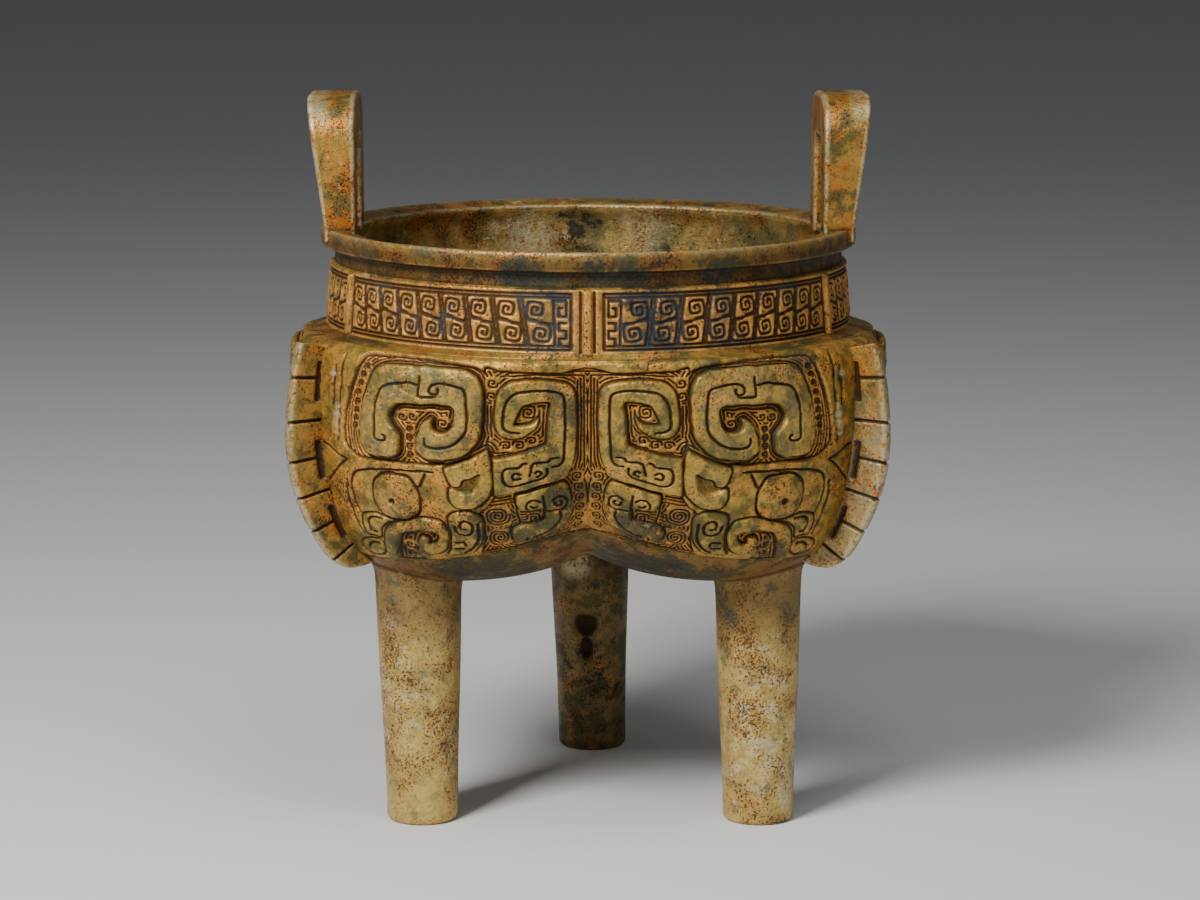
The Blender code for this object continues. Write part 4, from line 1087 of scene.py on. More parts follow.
def patinated(name, amounts, colours=None):
    """A bronze finish. Amounts are orange, olive, cream, black and speck, from -1 to 1."""
    made = bpy.data.materials.new(name)
    made.use_nodes = True
    inner = Wiring(made.node_tree)
    shader = made.node_tree.nodes["Principled BSDF"]
    shader.inputs["Metallic"].default_value = METAL_SHARE
    shader.inputs["Specular IOR Level"].default_value = SPECULAR
    painted = inner.node("ShaderNodeGroup", node_tree=patina)
    chosen = dict(zip(COLOURS, USUAL_COLOURS)) | (colours or {}) | dict(zip(AMOUNTS, amounts))
    for title, value in chosen.items():
        painted.inputs[title].default_value = value
    for title in MASKS:
        source = inner.node("ShaderNodeAttribute", attribute_name=title.lower())
        inner.feed(painted.inputs[title], source.outputs["Fac"])
    bump = inner.node("ShaderNodeBump")
    bump.inputs["Strength"].default_value = BUMP_STRENGTH
    bump.inputs["Distance"].default_value = BUMP_DISTANCE
    inner.feed(bump.inputs["Height"], painted.outputs["Height"])
    inner.feed(shader.inputs["Base Color"], painted.outputs["Color"])
    inner.feed(shader.inputs["Roughness"], painted.outputs["Roughness"])
    inner.feed(shader.inputs["Normal"], bump.outputs["Normal"])
    return made


relief_bronze = patinated("relief_bronze", (0.0, 0.15, -0.2, -0.2, 0.05), {"Orange": paint(204, 142, 60)})
band_bronze = patinated(
    "band_bronze", (0.0, 0.0, 0.0, -0.1, 0.0), {"Orange": paint(218, 154, 76), "Black": paint(44, 50, 54)}
)
bowl_bronze = patinated(
    "bowl_bronze", (0.1, 0.15, -0.1, -0.1, 0.15), {"Tan": paint(162, 128, 58), "Orange": paint(168, 104, 38)}
)
leg_bronze = patinated(
    "leg_bronze", (0.1, 0.0, 0.2, -0.25, 0.2),
    {"Tan": paint(210, 182, 104), "Orange": paint(196, 148, 74), "Olive": paint(140, 132, 92),
     "Soil": paint(84, 52, 26)},
)
# the back leg's finish is a darker copy of the leg finish: painted shade, as the bowl shades that leg
back_leg_bronze = patinated("back_leg_bronze", (-0.1, 0.2, -0.3, 0.0, 0.2), {"Tan": paint(128, 104, 60)})
handle_bronze = patinated("handle_bronze", (0.25, 0.05, -0.05, -0.2, 0.1), {"Tan": paint(178, 142, 64)})
flange_bronze = patinated(
    "flange_bronze", (0.15, 0.1, -0.1, -0.2, 0.15),
    {"Tan": paint(166, 132, 62), "Orange": paint(176, 110, 38)},
)
print("mixed 7 finishes of bronze")

# %% [markdown]
# ## Lay the masks on the lobes
#
# The drawing is laid on the wall six times, turned and mirrored about each flange. No two
# halves were carved quite alike, so each one is stretched a little in its own way before it
# is laid, and its lines stray as a carver's hand does. Both fade out at the edges, where the
# halves meet. The larger stains are placed one by one, where the photograph shows them.


# %% Read the sheet between its grid points
def grid_value(values, us, vs, u, v):
    """The value of a drawing's grid at places between its points."""
    x = np.clip((u - us[0]) / SHEET_PITCH, 0, len(us) - 1.001)
    y = np.clip((v - vs[0]) / SHEET_PITCH, 0, len(vs) - 1.001)
    i, j = x.astype(int), y.astype(int)
    fx, fy = x - i, y - j
    upper = values[j, i] * (1 - fx) + values[j, i + 1] * fx
    lower = values[j + 1, i] * (1 - fx) + values[j + 1, i + 1] * fx
    return upper * (1 - fy) + lower * fy


def sheet_value(values, u, v):
    return grid_value(values, sheet_us, sheet_vs, u, v)


SLAB_TOP, SLAB_FOOT, SLAB_BACK = -6.6, 67.3, -2.0
PLAIN_U, PLAIN_V = 12.0, -4.0
COARSE_U, COARSE_V = 45, 34


def graded(start, plain_end, end, plain_step, fine_step):
    """Places along one side of the sheet: wide steps on the plain part, fine ones after it."""
    plain = np.linspace(start, plain_end, max(2, round((plain_end - start) / plain_step)), endpoint=False)
    return np.concatenate([plain, np.linspace(plain_end, end, round((end - plain_end) / fine_step) + 1)])


# name, flange azimuth, way round from the flange, stretch across, stretch down, phase, step
MASK_HALVES = (
    ("mask_left_inner", 210.0, 1, 0.25, 0.2, 0.3, 0.295),
    ("mask_left_outer", 210.0, -1, 0.3, 0.3, 1.9, 0.35),
    ("mask_right_inner", 330.0, -1, 0.2, 0.3, 4.1, 0.295),
    ("mask_right_outer", 330.0, 1, 0.3, 0.2, 2.6, 0.35),
    ("mask_back_right", 90.0, -1, 0.35, 0.3, 5.2, 0.35),
    ("mask_back_left", 90.0, 1, 0.3, 0.35, 0.9, 0.35),
)
PALE_STREAK = ((9.6, 15.0, 1.5), (9.3, 17.8, 2.0), (9.0, 20.6, 2.2), (8.6, 23.4, 1.6), (7.4, 4.5, 1.5))
# dark stains on each half: across, down, radius
MASK_STAINS = {
    "mask_left_inner": ((57, 55, 11), (71, 58, 13), (77, 46, 8), (86, 46, 9), (27, 61, 8), (83, 13, 5)),
    "mask_right_inner": ((60, 55, 11), (73, 59, 12), (22, -1, 6), (52, -2, 5), (27, 62, 7), (86, 42, 8)),
    "mask_left_outer": ((30, 62, 8), (60, 40, 8), (78, 12, 7)),
    "mask_right_outer": ((22, 8, 6), (50, 58, 9), (80, 50, 7)),
    "mask_back_right": ((40, 60, 9), (66, 20, 8), (84, 55, 7)),
    "mask_back_left": ((18, 58, 8), (58, 56, 8), (80, 30, 7)),
}


def blot(reach, full=0.3):
    """1 in the middle of a stain, and 0 a little outside its radius, where reach is 1."""
    return 1 - smooth_step(reach, full, 1.1)


def spots(places, across, down):
    """The strongest of the round stains at each place of the sheet."""
    best = np.zeros(across.shape)
    for x, y, radius in places:
        best = np.maximum(best, blot(np.hypot(across - x, down - y) / radius))
    return best


print("the drawing is laid", len(MASK_HALVES), "times")

# %% Lay the six halves
STILL_EDGE, WAVE_DOWN, WAVE_ACROSS = 8, 11.0, 13.0
PLAIN_STEP_U, PLAIN_STEP_V = 0.65, 0.9
TOP_RUB, STREAK_RUB = 0.16, 0.9

for name, flange, way, wide, tall, phase, step in MASK_HALVES:
    us = graded(0.0, PLAIN_U, SHEET_WIDTH, PLAIN_STEP_U, step)
    vs = graded(SLAB_TOP, PLAIN_V, SLAB_FOOT, PLAIN_STEP_V, step)
    u, v = np.meshgrid(us, vs)
    window = np.sin(np.pi * u / SHEET_WIDTH) * np.clip((v - SLAB_TOP) / STILL_EDGE, 0, 1)
    window *= np.clip((SLAB_FOOT - v) / STILL_EDGE, 0, 1)
    read_u = u + wide * window * np.sin(v / WAVE_DOWN + phase)
    read_u += window * sheet_value(WOBBLE_ACROSS, u, v)
    read_v = v + tall * window * np.sin(u / WAVE_ACROSS + phase * 1.7)
    read_v += window * sheet_value(WOBBLE_DOWN, u, v)
    raised = sheet_value(HEIGHT, read_u, read_v)
    azimuth = flange + way * u / SHEET_WIDTH * HALF_ANGLE
    station = sheet_station(v)[0]
    front = wall_point(azimuth, station) + wall_normal(azimuth, station) * raised[..., None]
    back_u, back_v = np.meshgrid(
        np.linspace(0, SHEET_WIDTH, COARSE_U), np.linspace(SLAB_TOP, SLAB_FOOT, COARSE_V)
    )
    back_azimuth = flange + way * back_u / SHEET_WIDTH * HALF_ANGLE
    back_station = sheet_station(back_v)[0]
    buried = wall_normal(back_azimuth, back_station) * SLAB_BACK
    back = wall_point(back_azimuth, back_station) + buried
    masks = {
        "groove": sheet_value(GROOVE, read_u, read_v),
        "field": sheet_value(FIELD, read_u, read_v),
        "wear": TOP_RUB * smooth_step(raised, 1.5, 2.2) + STREAK_RUB * spots(PALE_STREAK, read_u, read_v),
        "stain": spots(MASK_STAINS[name], u, v),
    }
    slab(name, front, back, masks, relief_bronze)

# %% [markdown]
# ## The band round the neck
#
# Between two fine lines runs a row of paired spirals, one above the other, joined by an S.
# The pairs lean away from the front. Each sixth of the band, from a flange to a cleft, is one
# drawing, mirrored from panel to panel, with a narrow upright rib where two panels meet.

# %% Draw one panel of the band
BAND_HEIGHT = BAND_TOP_Z - BAND_FOOT_Z
BAND_PER_DEGREE = math.radians(1) * (BAND_TOP_R + BAND_FOOT_R) / 2
BAND_WIDTH = HALF_ANGLE * BAND_PER_DEGREE
BAND_COLUMNS_DEG = (4.6, 10.2, 16.0, 21.8, 27.6, 33.4, 39.2, 45.0, 50.7)
BAND_SPIRAL_R, BAND_TURNS, BAND_LEAN = 2.75, 1.9, 0.7
BAND_UPPER, BAND_LOWER = 5.6, 12.3
BAND_FRET_AT = 73.6
BAND_FRET = (
    ((-1.2, 15.2), (-1.4, 9.6), (-1.6, 3.0), (1.7, 3.0), (1.7, 7.4), (-0.3, 7.4), (-0.3, 5.0), (0.6, 5.0)),
    ((1.7, 9.2), (-0.2, 9.2), (-0.2, 11.4), (1.7, 11.4), (1.7, 13.6), (0.0, 13.6), (0.0, 15.2)),
)

band_us = np.arange(0, BAND_WIDTH + SHEET_PITCH, SHEET_PITCH)
band_vs = np.arange(-1.0, BAND_HEIGHT + 1.0, SHEET_PITCH)
band_paths = []
for number, degrees in enumerate(BAND_COLUMNS_DEG):
    middle = degrees * BAND_PER_DEGREE
    upper = (middle - BAND_LEAN, BAND_UPPER)
    lower = (middle + BAND_LEAN, BAND_LOWER)
    band_paths.append(square_spiral(upper, BAND_SPIRAL_R, BAND_TURNS, 90, 1, 1.04))
    band_paths.append(square_spiral(lower, BAND_SPIRAL_R, BAND_TURNS, 270, 1, 1.04))
    joint = ((upper[0] - 2.6, 8.5), (middle - 1.4, 8.7), (middle + 1.4, 9.3), (lower[0] + 2.6, 9.5))
    band_paths.append(smooth_path(joint, 6))
    if degrees < BAND_COLUMNS_DEG[-1]:
        side = (degrees + BAND_COLUMNS_DEG[number + 1]) / 2 * BAND_PER_DEGREE
        for aside in (-0.48, 0.48):
            band_paths.append(np.array(((side - 1.0 + aside, 2.6), (side + 1.0 + aside, 15.4))))
for path in BAND_FRET:
    band_paths.append(np.array(path, float) + (BAND_FRET_AT, 0))
for down in (1.0, 2.1, BAND_HEIGHT - 2.1, BAND_HEIGHT - 1.0):
    band_paths.append(np.array(((2.2, down), (BAND_WIDTH - 4.2, down))))
band_paths.append(np.array(((BAND_WIDTH - 4.2, 1.0), (BAND_WIDTH - 4.2, BAND_HEIGHT - 1.0))))
band_paths.append(np.array(((2.2, 1.0), (2.2, BAND_HEIGHT - 1.0))))
print("one panel has", len(band_paths), "cut lines")

# %% Cut the panel and raise its ribs
BAND_CUT_HALF, BAND_CUT_DEPTH = 0.5, 0.85
BAND_ACROSS, BAND_DOWN = np.meshgrid(band_us, band_vs)
band_gap = line_distance(band_paths, band_us, band_vs, 1.4)
band_cuts = cut(band_gap, BAND_CUT_HALF, BAND_CUT_DEPTH)
rib_gap = np.minimum(BAND_ACROSS, BAND_WIDTH - BAND_ACROSS)
rib = smooth_step(-rib_gap, -1.35, -0.75) * smooth_step(BAND_DOWN, -0.2, 0.5)
RIB_CUT_AT, RIB_CUT_HALF, RIB_CUT_DEPTH, BAND_RIB_RISE = 1.75, 0.45, 0.7, 1.0
rib_cut = cut(rib_gap - RIB_CUT_AT, RIB_CUT_HALF, RIB_CUT_DEPTH)
BAND_RELIEF = BAND_RIB_RISE * rib - np.maximum(band_cuts, rib_cut)
BAND_GROOVE = np.maximum(band_cuts / BAND_CUT_DEPTH, rib_cut / RIB_CUT_DEPTH)
print("the band's relief runs from", round(float(BAND_RELIEF.min()), 2), "to", BAND_RIB_RISE)


# %% Wrap the band round the neck
PATCH_TALL = 9.0


def patches(places, angles, height, full=0.3):
    """How strong a set of patches is along one ring at this height."""
    best = np.zeros(angles.shape)
    for azimuth_here, z_here, sideways, most in places:
        off = np.abs((angles - azimuth_here + 180) % 360 - 180) / sideways
        reach = np.hypot(off, (height - z_here) / PATCH_TALL)
        best = np.maximum(best, most * blot(reach, full))
    return best


BAND_PIECES_AROUND, BAND_ROWS = 1350, 50
BAND_BACK_R = 73.4
BAND_DRIFT = 4.2

drawn = np.arange(BAND_PIECES_AROUND) * 360 / BAND_PIECES_AROUND
azimuth = drawn + BAND_DRIFT * np.sin(np.radians(2 * (drawn - 270)))
from_flange = np.abs((drawn - LEG_AZIMUTHS[0] + HALF_ANGLE) % 120 - HALF_ANGLE)
downs = np.linspace(0.0, BAND_HEIGHT - 0.1, BAND_ROWS)
# azimuth, height above the line, reach sideways in degrees, how dark
BAND_STAINS = (
    (262.0, 0.0, 7.0, 0.8), (284.0, 0.0, 10.0, 1.0), (300.0, 0.0, 6.0, 0.7), (20.0, 0.0, 14.0, 0.8),
    (140.0, 0.0, 12.0, 0.9),
)
rings, grooves, fields = [], [], []


def band_ring(radius, z, groove=0.0, field=0.0, rise=0.0):
    rings.append(ring_point(azimuth, radius + rise, z))
    grooves.append(groove + 0 * azimuth)
    fields.append(field + 0 * azimuth)


band_ring(BAND_BACK_R, BAND_TOP_Z + 0.7)
band_ring(NECK_OUTER_R - 0.1, BAND_TOP_Z + 0.75)
band_ring(BAND_TOP_R - 0.45, BAND_TOP_Z + 0.35)
for down in downs:
    share = down / BAND_HEIGHT
    u, v = from_flange * BAND_PER_DEGREE, np.full(azimuth.shape, down)
    rise = grid_value(BAND_RELIEF, band_us, band_vs, u, v)
    soft = smooth_step(down, -0.3, 0.6)
    band_ring(
        BAND_TOP_R + (BAND_FOOT_R - BAND_TOP_R) * share,
        BAND_TOP_Z - down,
        grid_value(BAND_GROOVE, band_us, band_vs, u, v) * soft,
        0.75,
        rise * soft,
    )
band_ring(BAND_FOOT_R - 0.2, BAND_FOOT_Z - 0.5)
band_ring(BAND_BACK_R, BAND_FOOT_Z - 0.5)
print("the band has", len(rings), "rings of", BAND_PIECES_AROUND)


# %% Close the band into a hoop
def hoop(name, rings, masks, material):
    """A closed ring whose cross-section closes too, such as a tyre."""
    rows, columns = rings.shape[:2]
    index = np.arange(rows * columns).reshape(rows, columns)
    index = np.vstack([index, index[:1]])
    wrapped = np.hstack([index, index[:, :1]])
    faces = grid_quads(wrapped)
    layout = grid_layout(HOOP_AREA, rows + 1, columns + 1)[1]
    flat = {title: values.ravel() for title, values in masks.items()}
    return make_piece(name, rings.reshape(-1, 3), faces, layout, [True] * len(faces), flat, material)


stains = np.repeat(patches(BAND_STAINS, azimuth, 0.0, full=0.2)[None], len(rings), axis=0)
band_masks = {"groove": np.array(grooves), "field": np.array(fields), "stain": stains}
hoop("neck_band", np.array(rings), band_masks, band_bronze)

# %% [markdown]
# ## The bowl, inside and out
#
# The bowl is one closed skin that starts in the middle of its underside, climbs the outside,
# rolls over the rim and goes down the inside to the middle of the floor. Under the masks and
# the band it steps back by a millimetre or so, and their slabs lie in it like a veneer, so the
# wall keeps its true line where they end. The inside was never cleaned as well as the
# outside, so it has its own, blotchier finish.

# %% List the rings of the bowl
BOWL_COLUMNS = 220
SLAB_RECESS, RECESS_EDGE = -1.55, 0.45
around = np.arange(BOWL_COLUMNS) * 360 / BOWL_COLUMNS
bowl_rings, bowl_grooves, bowl_wear, bowl_stains = [], [], [], []
# azimuth, height, reach sideways in degrees, how dark
NECK_STAINS = (
    (256.0, 168.5, 8.0, 1.3), (278.0, 168.0, 6.0, 1.2), (300.0, 168.0, 7.0, 0.8), (20.0, 168.0, 15.0, 1.0),
    (150.0, 168.0, 14.0, 1.0), (272.0, 173.5, 4.0, 0.7), (214.0, 148.0, 9.0, 0.7), (318.0, 148.0, 9.0, 0.8),
)
UNDER_STAINS = (
    (200.0, 74.0, 16.0, 0.8), (240.0, 80.0, 16.0, 1.1), (290.0, 78.0, 22.0, 1.2), (330.0, 74.0, 12.0, 0.8),
    (60.0, 78.0, 30.0, 1.0), (130.0, 80.0, 30.0, 1.0),
)
INSIDE_STAINS = (
    (92.0, 167.0, 7.0, 1.6), (70.0, 164.0, 5.0, 1.0), (40.0, 166.0, 20.0, 0.8), (150.0, 166.0, 16.0, 1.2),
)
INSIDE_PALE = (
    (106.0, 166.0, 10.0, 0.9), (76.0, 169.0, 9.0, 0.6), (20.0, 150.0, 14.0, 0.6), (220.0, 150.0, 20.0, 0.6),
)


def bowl_ring(points, groove=0.0, wear=0.0, stains=(), pale=()):
    middle_height = float(points[:, 2].mean())
    bowl_rings.append(points)
    bowl_grooves.append(np.full(BOWL_COLUMNS, groove))
    bowl_wear.append(np.maximum(wear, patches(pale, around, middle_height)))
    bowl_stains.append(patches(stains, around, middle_height))


def wall_ring(station, sunk=0.0):
    stations = np.full(BOWL_COLUMNS, float(station))
    return wall_point(around, stations) + wall_normal(around, stations) * sunk


foot_station = float(sheet_station(SLAB_FOOT)[0])
top_station = float(sheet_station(SLAB_TOP)[0])
# the underside is painted darker through the groove mask, 0.36, as painted shade under the bowl
for station in np.linspace(LAST_STATION - 0.1, foot_station, 30):
    bowl_ring(wall_ring(station), 0.36, stains=UNDER_STAINS)
for down in np.linspace(SLAB_FOOT - RECESS_EDGE, SLAB_TOP + RECESS_EDGE, 16):
    bowl_ring(wall_ring(sheet_station(down)[0], SLAB_RECESS))
for station in np.linspace(top_station, 0.02, 6):
    bowl_ring(wall_ring(station), stains=NECK_STAINS)
print("the outside below the band has", len(bowl_rings), "rings")

# %% Add the neck, the rim and the inside
UNDER_RIM_Z = RIM_TOP_Z - RIM_HEIGHT
LIP_Z = RIM_TOP_Z - RIM_LIP_DROP
# radius, height, share of the handle swell, groove, wear; the groove under the rim is partly dark patina and
# partly painted shade from the rim
NECK_AND_RIM = (
    (BAND_FOOT_R - 2.0, BAND_FOOT_Z + 0.3, 0, 0.2, 0), (BAND_FOOT_R - 2.6, 152.0, 0, 0.2, 0),
    (BAND_TOP_R - 1.3, 160.0, 0, 0.2, 0), (NECK_OUTER_R, 166.4, 0, 0.55, 0),
    (NECK_OUTER_R, 166.9, 0, 0.55, 0), (NECK_OUTER_R - 0.1, 167.7, 0, 0.48, 0),
    (NECK_OUTER_R - 0.15, 168.8, 0, 0.5, 0), (NECK_OUTER_R - 0.1, 169.8, 0, 0.6, 0),
    (NECK_OUTER_R + 0.05, 170.5, 0, 0.6, 0), (NECK_OUTER_R + 0.5, UNDER_RIM_Z - 0.25, 0, 0.85, 0),
    (RIM_OUTER_R - 1.2, UNDER_RIM_Z - 0.05, 0.6, 0.7, 0),
    (RIM_OUTER_R - 0.45, UNDER_RIM_Z + 0.05, 0.9, 0.5, 0),
    (RIM_OUTER_R - 0.08, UNDER_RIM_Z + 0.35, 1, 0.2, 0), (RIM_OUTER_R + 0.05, UNDER_RIM_Z + 1.0, 1, 0.46, 0),
    (RIM_OUTER_R + 0.1, 174.2, 1, 0.42, 0), (RIM_OUTER_R + 0.05, 175.8, 1, 0.3, 0.1),
    # the wear on the rim's top edge and inner lip is partly rubbing and partly a painted sheen along the
    # edge
    (RIM_OUTER_R - 0.1, 176.5, 1, 0, 0.25), (RIM_OUTER_R - 0.5, 176.92, 0.95, 0, 0.4),
    (RIM_OUTER_R - 1.1, RIM_TOP_Z, 0.9, 0, 0.2), (75.0, 176.75, 0.5, 0, 0.1), (73.0, 176.35, 0.2, 0, 0),
    (71.2, 175.95, 0, 0, 0), (69.9, 175.65, 0, 0, 0.3), (RIM_INNER_R + 0.3, 175.45, 0, 0, 0.6),
    (RIM_INNER_R, LIP_Z - 0.25, 0, 0, 0.4), (RIM_INNER_R, 174.4, 0, 0, 0), (69.4, 173.4, 0, 0.1, 0),
    (70.4, 172.0, 0, 0.2, 0), (NECK_INNER_R, 169.5, 0, 0.1, 0), (NECK_INNER_R, 162.0, 0, 0, 0),
    (NECK_INNER_R, 156.0, 0, 0, 0), (NECK_INNER_R, 150.4, 0, 0, 0),
)
FLOOR_Z = LOBE_MERIDIAN[-1][1]
inside_from = 0
for radius, z, swell, groove, wear in NECK_AND_RIM:
    stains, pale = (INSIDE_STAINS, INSIDE_PALE) if inside_from else (NECK_STAINS, ())
    bowl_ring(ring_point(around, radius, z, swell * HANDLE_SWELL), groove, wear, stains, pale)
    if z == LIP_Z - 0.25:
        inside_from = len(bowl_rings)
for station in np.linspace(2.0, LAST_STATION - 0.1, 52):
    stations = np.full(BOWL_COLUMNS, station)
    bowl_ring(wall_point(around, stations, LOBE_INNER, CLEFT_INNER), 0.0, 0.0, INSIDE_STAINS, INSIDE_PALE)
bowl = tube(
    "bowl",
    np.array(bowl_rings),
    {"groove": np.array(bowl_grooves), "wear": np.array(bowl_wear), "stain": np.array(bowl_stains)},
    bowl_bronze,
    ends=(np.array((0.0, 0.0, FLOOR_Z)), np.array((0.0, 0.0, FLOOR_Z + WALL))),
)
print("the inside starts at ring", inside_from, "of", len(bowl_rings))

# %% Give the inside its own finish
inside_bronze = patinated(
    "inside_bronze",
    (0.15, 0.1, 0.1, -0.15, 0.1),
    {"Tan": paint(196, 166, 96), "Orange": paint(150, 98, 42), "Olive": paint(134, 126, 76)},
)
bowl.data.materials.append(inside_bronze)
which = np.zeros(len(bowl.data.polygons), np.int32)
which[inside_from * BOWL_COLUMNS : (len(bowl_rings) - 1) * BOWL_COLUMNS] = 1
bowl.data.polygons.foreach_set("material_index", which)
print("the inside has", int(which.sum()), "faces")

# %% [markdown]
# ## The legs
#
# Each leg is a plain column, a little thinner at the foot, cast in one with the bowl. Its top
# runs a little way into the wall and flares into it, as a cast joint does. The back leg has a
# deep keyhole-shaped flaw on its front, where the metal didn't fill the mould.

# %% Cast the legs
LEG_CIRCLE_R, LEG_FOOT_R, LEG_TOP_R, LEG_TOP_Z = 58.6, 10.6, 12.9, 72.0
LEG_EMBED, LEG_ROOT_STATION = 1.8, 8.2
LEG_LEANS = {90.0: 1.0, 210.0: 0.7, 330.0: 0.5}
LEG_NAMES = {90.0: "leg_back", 210.0: "leg_left", 330.0: "leg_right"}
LEG_COLUMNS, LEG_ROWS = 64, 64
LEG_FLARE, LEG_FLARE_FALL = 0.9, 1.3
FLAW_Z, FLAW_TAIL_Z, FLAW_ANGLE = 42.0, 34.5, -97.0
FLAW_R, FLAW_UNEVEN, FLAW_TAIL_R, FLAW_TAIL_LONG, FLAW_DEPTH = 4.2, 0.12, 2.4, 4.4, 2.4
# sideways, height, radius
PALE_PATCH = (-3.0, 62.0, 6.0)
# the rounded edge of a foot, as radius and height, up to where the shaft starts
FOOT_EDGE, SHAFT_Z = ((4.0, 0.0), (8.6, 0.0), (9.5, 0.05), (10.1, 0.3), (10.45, 0.75)), 1.3
SHAFT_WAVE, SHAFT_OVAL = 0.10, 0.07
JOINT_GRIME, JOINT_GRIME_FALL = 0.85, 1.2
# the legs' upper parts get darker towards the bowl as painted shade from the bowl above; the narrow dark
# band at the joint itself is grime
HIGH_GRIME, HIGH_FROM_Z, HIGH_FULL_Z = 0.48, 44, 68


def underside(x, y):
    """Height of the bowl's underside over each point of a leg."""
    stations = np.linspace(LEG_ROOT_STATION, LAST_STATION, 260)
    found = []
    for px, py in zip(x, y):
        wall = wall_point(np.full(stations.shape, math.degrees(math.atan2(py, px))), stations)
        reach = np.hypot(wall[:, 0], wall[:, 1])
        found.append(np.interp(-math.hypot(px, py), -reach, wall[:, 2]))
    return np.array(found)


for leg, lean in LEG_LEANS.items():
    turn = math.radians(leg)
    middle = LEG_CIRCLE_R * np.array((math.cos(turn), math.sin(turn)))
    spin = np.radians(np.arange(LEG_COLUMNS) * 360 / LEG_COLUMNS)
    tops = underside(middle[0] + LEG_TOP_R * np.cos(spin), middle[1] + LEG_TOP_R * np.sin(spin)) + LEG_EMBED
    rings, grooves = [], []
    for radius, z in FOOT_EDGE:
        rings.append((np.full(LEG_COLUMNS, radius), np.full(LEG_COLUMNS, z)))
    for share in np.linspace(0, 1, LEG_ROWS):
        z = SHAFT_Z + (tops - SHAFT_Z) * share
        reach = LEG_FOOT_R + (LEG_TOP_R - LEG_FOOT_R) * z / LEG_TOP_Z
        reach = reach + SHAFT_WAVE * np.sin(z / 9.0 + leg) + SHAFT_OVAL * np.sin(2 * spin + z / 14.0 + leg)
        reach = reach + LEG_FLARE * np.exp(-(tops - LEG_EMBED - z) / LEG_FLARE_FALL).clip(0, 1.4)
        rings.append((reach, z))
    corners, wear = [], []
    for reach, z in rings:
        flaw = np.zeros(LEG_COLUMNS)
        wear.append(np.zeros(LEG_COLUMNS))
        if leg == 90.0:
            arc = (np.degrees(spin) - FLAW_ANGLE + 180) % 360 - 180
            side = np.radians(arc) * LEG_FOOT_R
            flaw_r = FLAW_R * (1 + FLAW_UNEVEN * np.sin(3 * np.arctan2(z - FLAW_Z, side)))
            hole = np.hypot(side, z - FLAW_Z) / flaw_r
            tail = np.hypot(side / FLAW_TAIL_R, (z - FLAW_TAIL_Z) / FLAW_TAIL_LONG)
            flaw = blot(np.minimum(hole, tail), 0.45)
            pale_x, pale_z, pale_r = PALE_PATCH
            wear[-1] = 0.8 * blot(np.hypot((side - pale_x) / pale_r, (z - pale_z) / pale_r))
        grooves.append(np.clip(flaw * 1.2, 0, 1))
        reach = reach - FLAW_DEPTH * flaw
        shift = lean * (1 - z / LEG_TOP_Z)
        corners.append(
            np.stack([middle[0] + shift + reach * np.cos(spin), middle[1] + reach * np.sin(spin), z], axis=1)
        )
        below_bowl = (tops - LEG_EMBED - z).clip(0, 90)
        near_bowl = smooth_step(z, 0, 1) * np.exp(-below_bowl / JOINT_GRIME_FALL)
        # painted shade on the upper leg, and grime at the joint
        grime = np.maximum(JOINT_GRIME * near_bowl, HIGH_GRIME * smooth_step(z, HIGH_FROM_Z, HIGH_FULL_Z))
        grooves[-1] = np.maximum(grooves[-1], grime)
    # the back leg takes the darker finish, painted shade from the bowl above it
    finish = back_leg_bronze if leg == 90.0 else leg_bronze
    tube(LEG_NAMES[leg], np.array(corners), {"groove": np.array(grooves), "wear": np.array(wear)}, finish)

# %% [markdown]
# ## The handles
#
# A handle is an upright loop that stands on the rim: straight inside, leaning out a little on
# its outer face, thicker at the top than at the posts, with softened edges. The right one was
# set a little askew. Its section is a rounded block, carried round an arch.

# %% Shape the handles
HANDLE_INNER_X, HANDLE_FOOT_X, HANDLE_TOP_X, HANDLE_TOP_Z = 69.0, 78.2, 83.7, 216.5
HANDLE_WIDTH, HANDLE_BAR, HANDLE_CORNER, HANDLE_INNER_CORNER = 41.0, 10.5, 13.0, 5.0
HANDLE_CROWN, HANDLE_EMBED = 13.0, 3.4
HANDLES = (("handle_right", 1.0, 2.5), ("handle_left", -1.0, 0.0))
EDGE_SHARE = 0.085
POST_STEPS, CORNER_STEPS, CROWN_STEPS = 34, 16, 12
FOOT_GRIME, FOOT_GRIME_FALL, EDGE_RUB, CROWN_RUB = 0.7, 1.1, 0.6, 0.5


def arch(width, top, corner, foot):
    """The outline of an upside-down U, from its foot on one side to that on the other."""
    half = width / 2
    line = [(-half, z) for z in np.linspace(foot, top - corner, POST_STEPS)]
    for turn in np.linspace(math.pi, math.pi / 2, CORNER_STEPS)[1:]:
        line.append((-half + corner + corner * math.cos(turn), top - corner + corner * math.sin(turn)))
    for y in np.linspace(-half + corner, 0, CROWN_STEPS)[1:]:
        line.append((y, top))
    return np.array(line + [(-y, z) for y, z in reversed(line[:-1])])


def handle_outer_x(z):
    rise = np.clip((z - RIM_TOP_Z) / (HANDLE_TOP_Z - RIM_TOP_Z), 0, 1)
    return HANDLE_FOOT_X + (HANDLE_TOP_X - HANDLE_FOOT_X) * rise


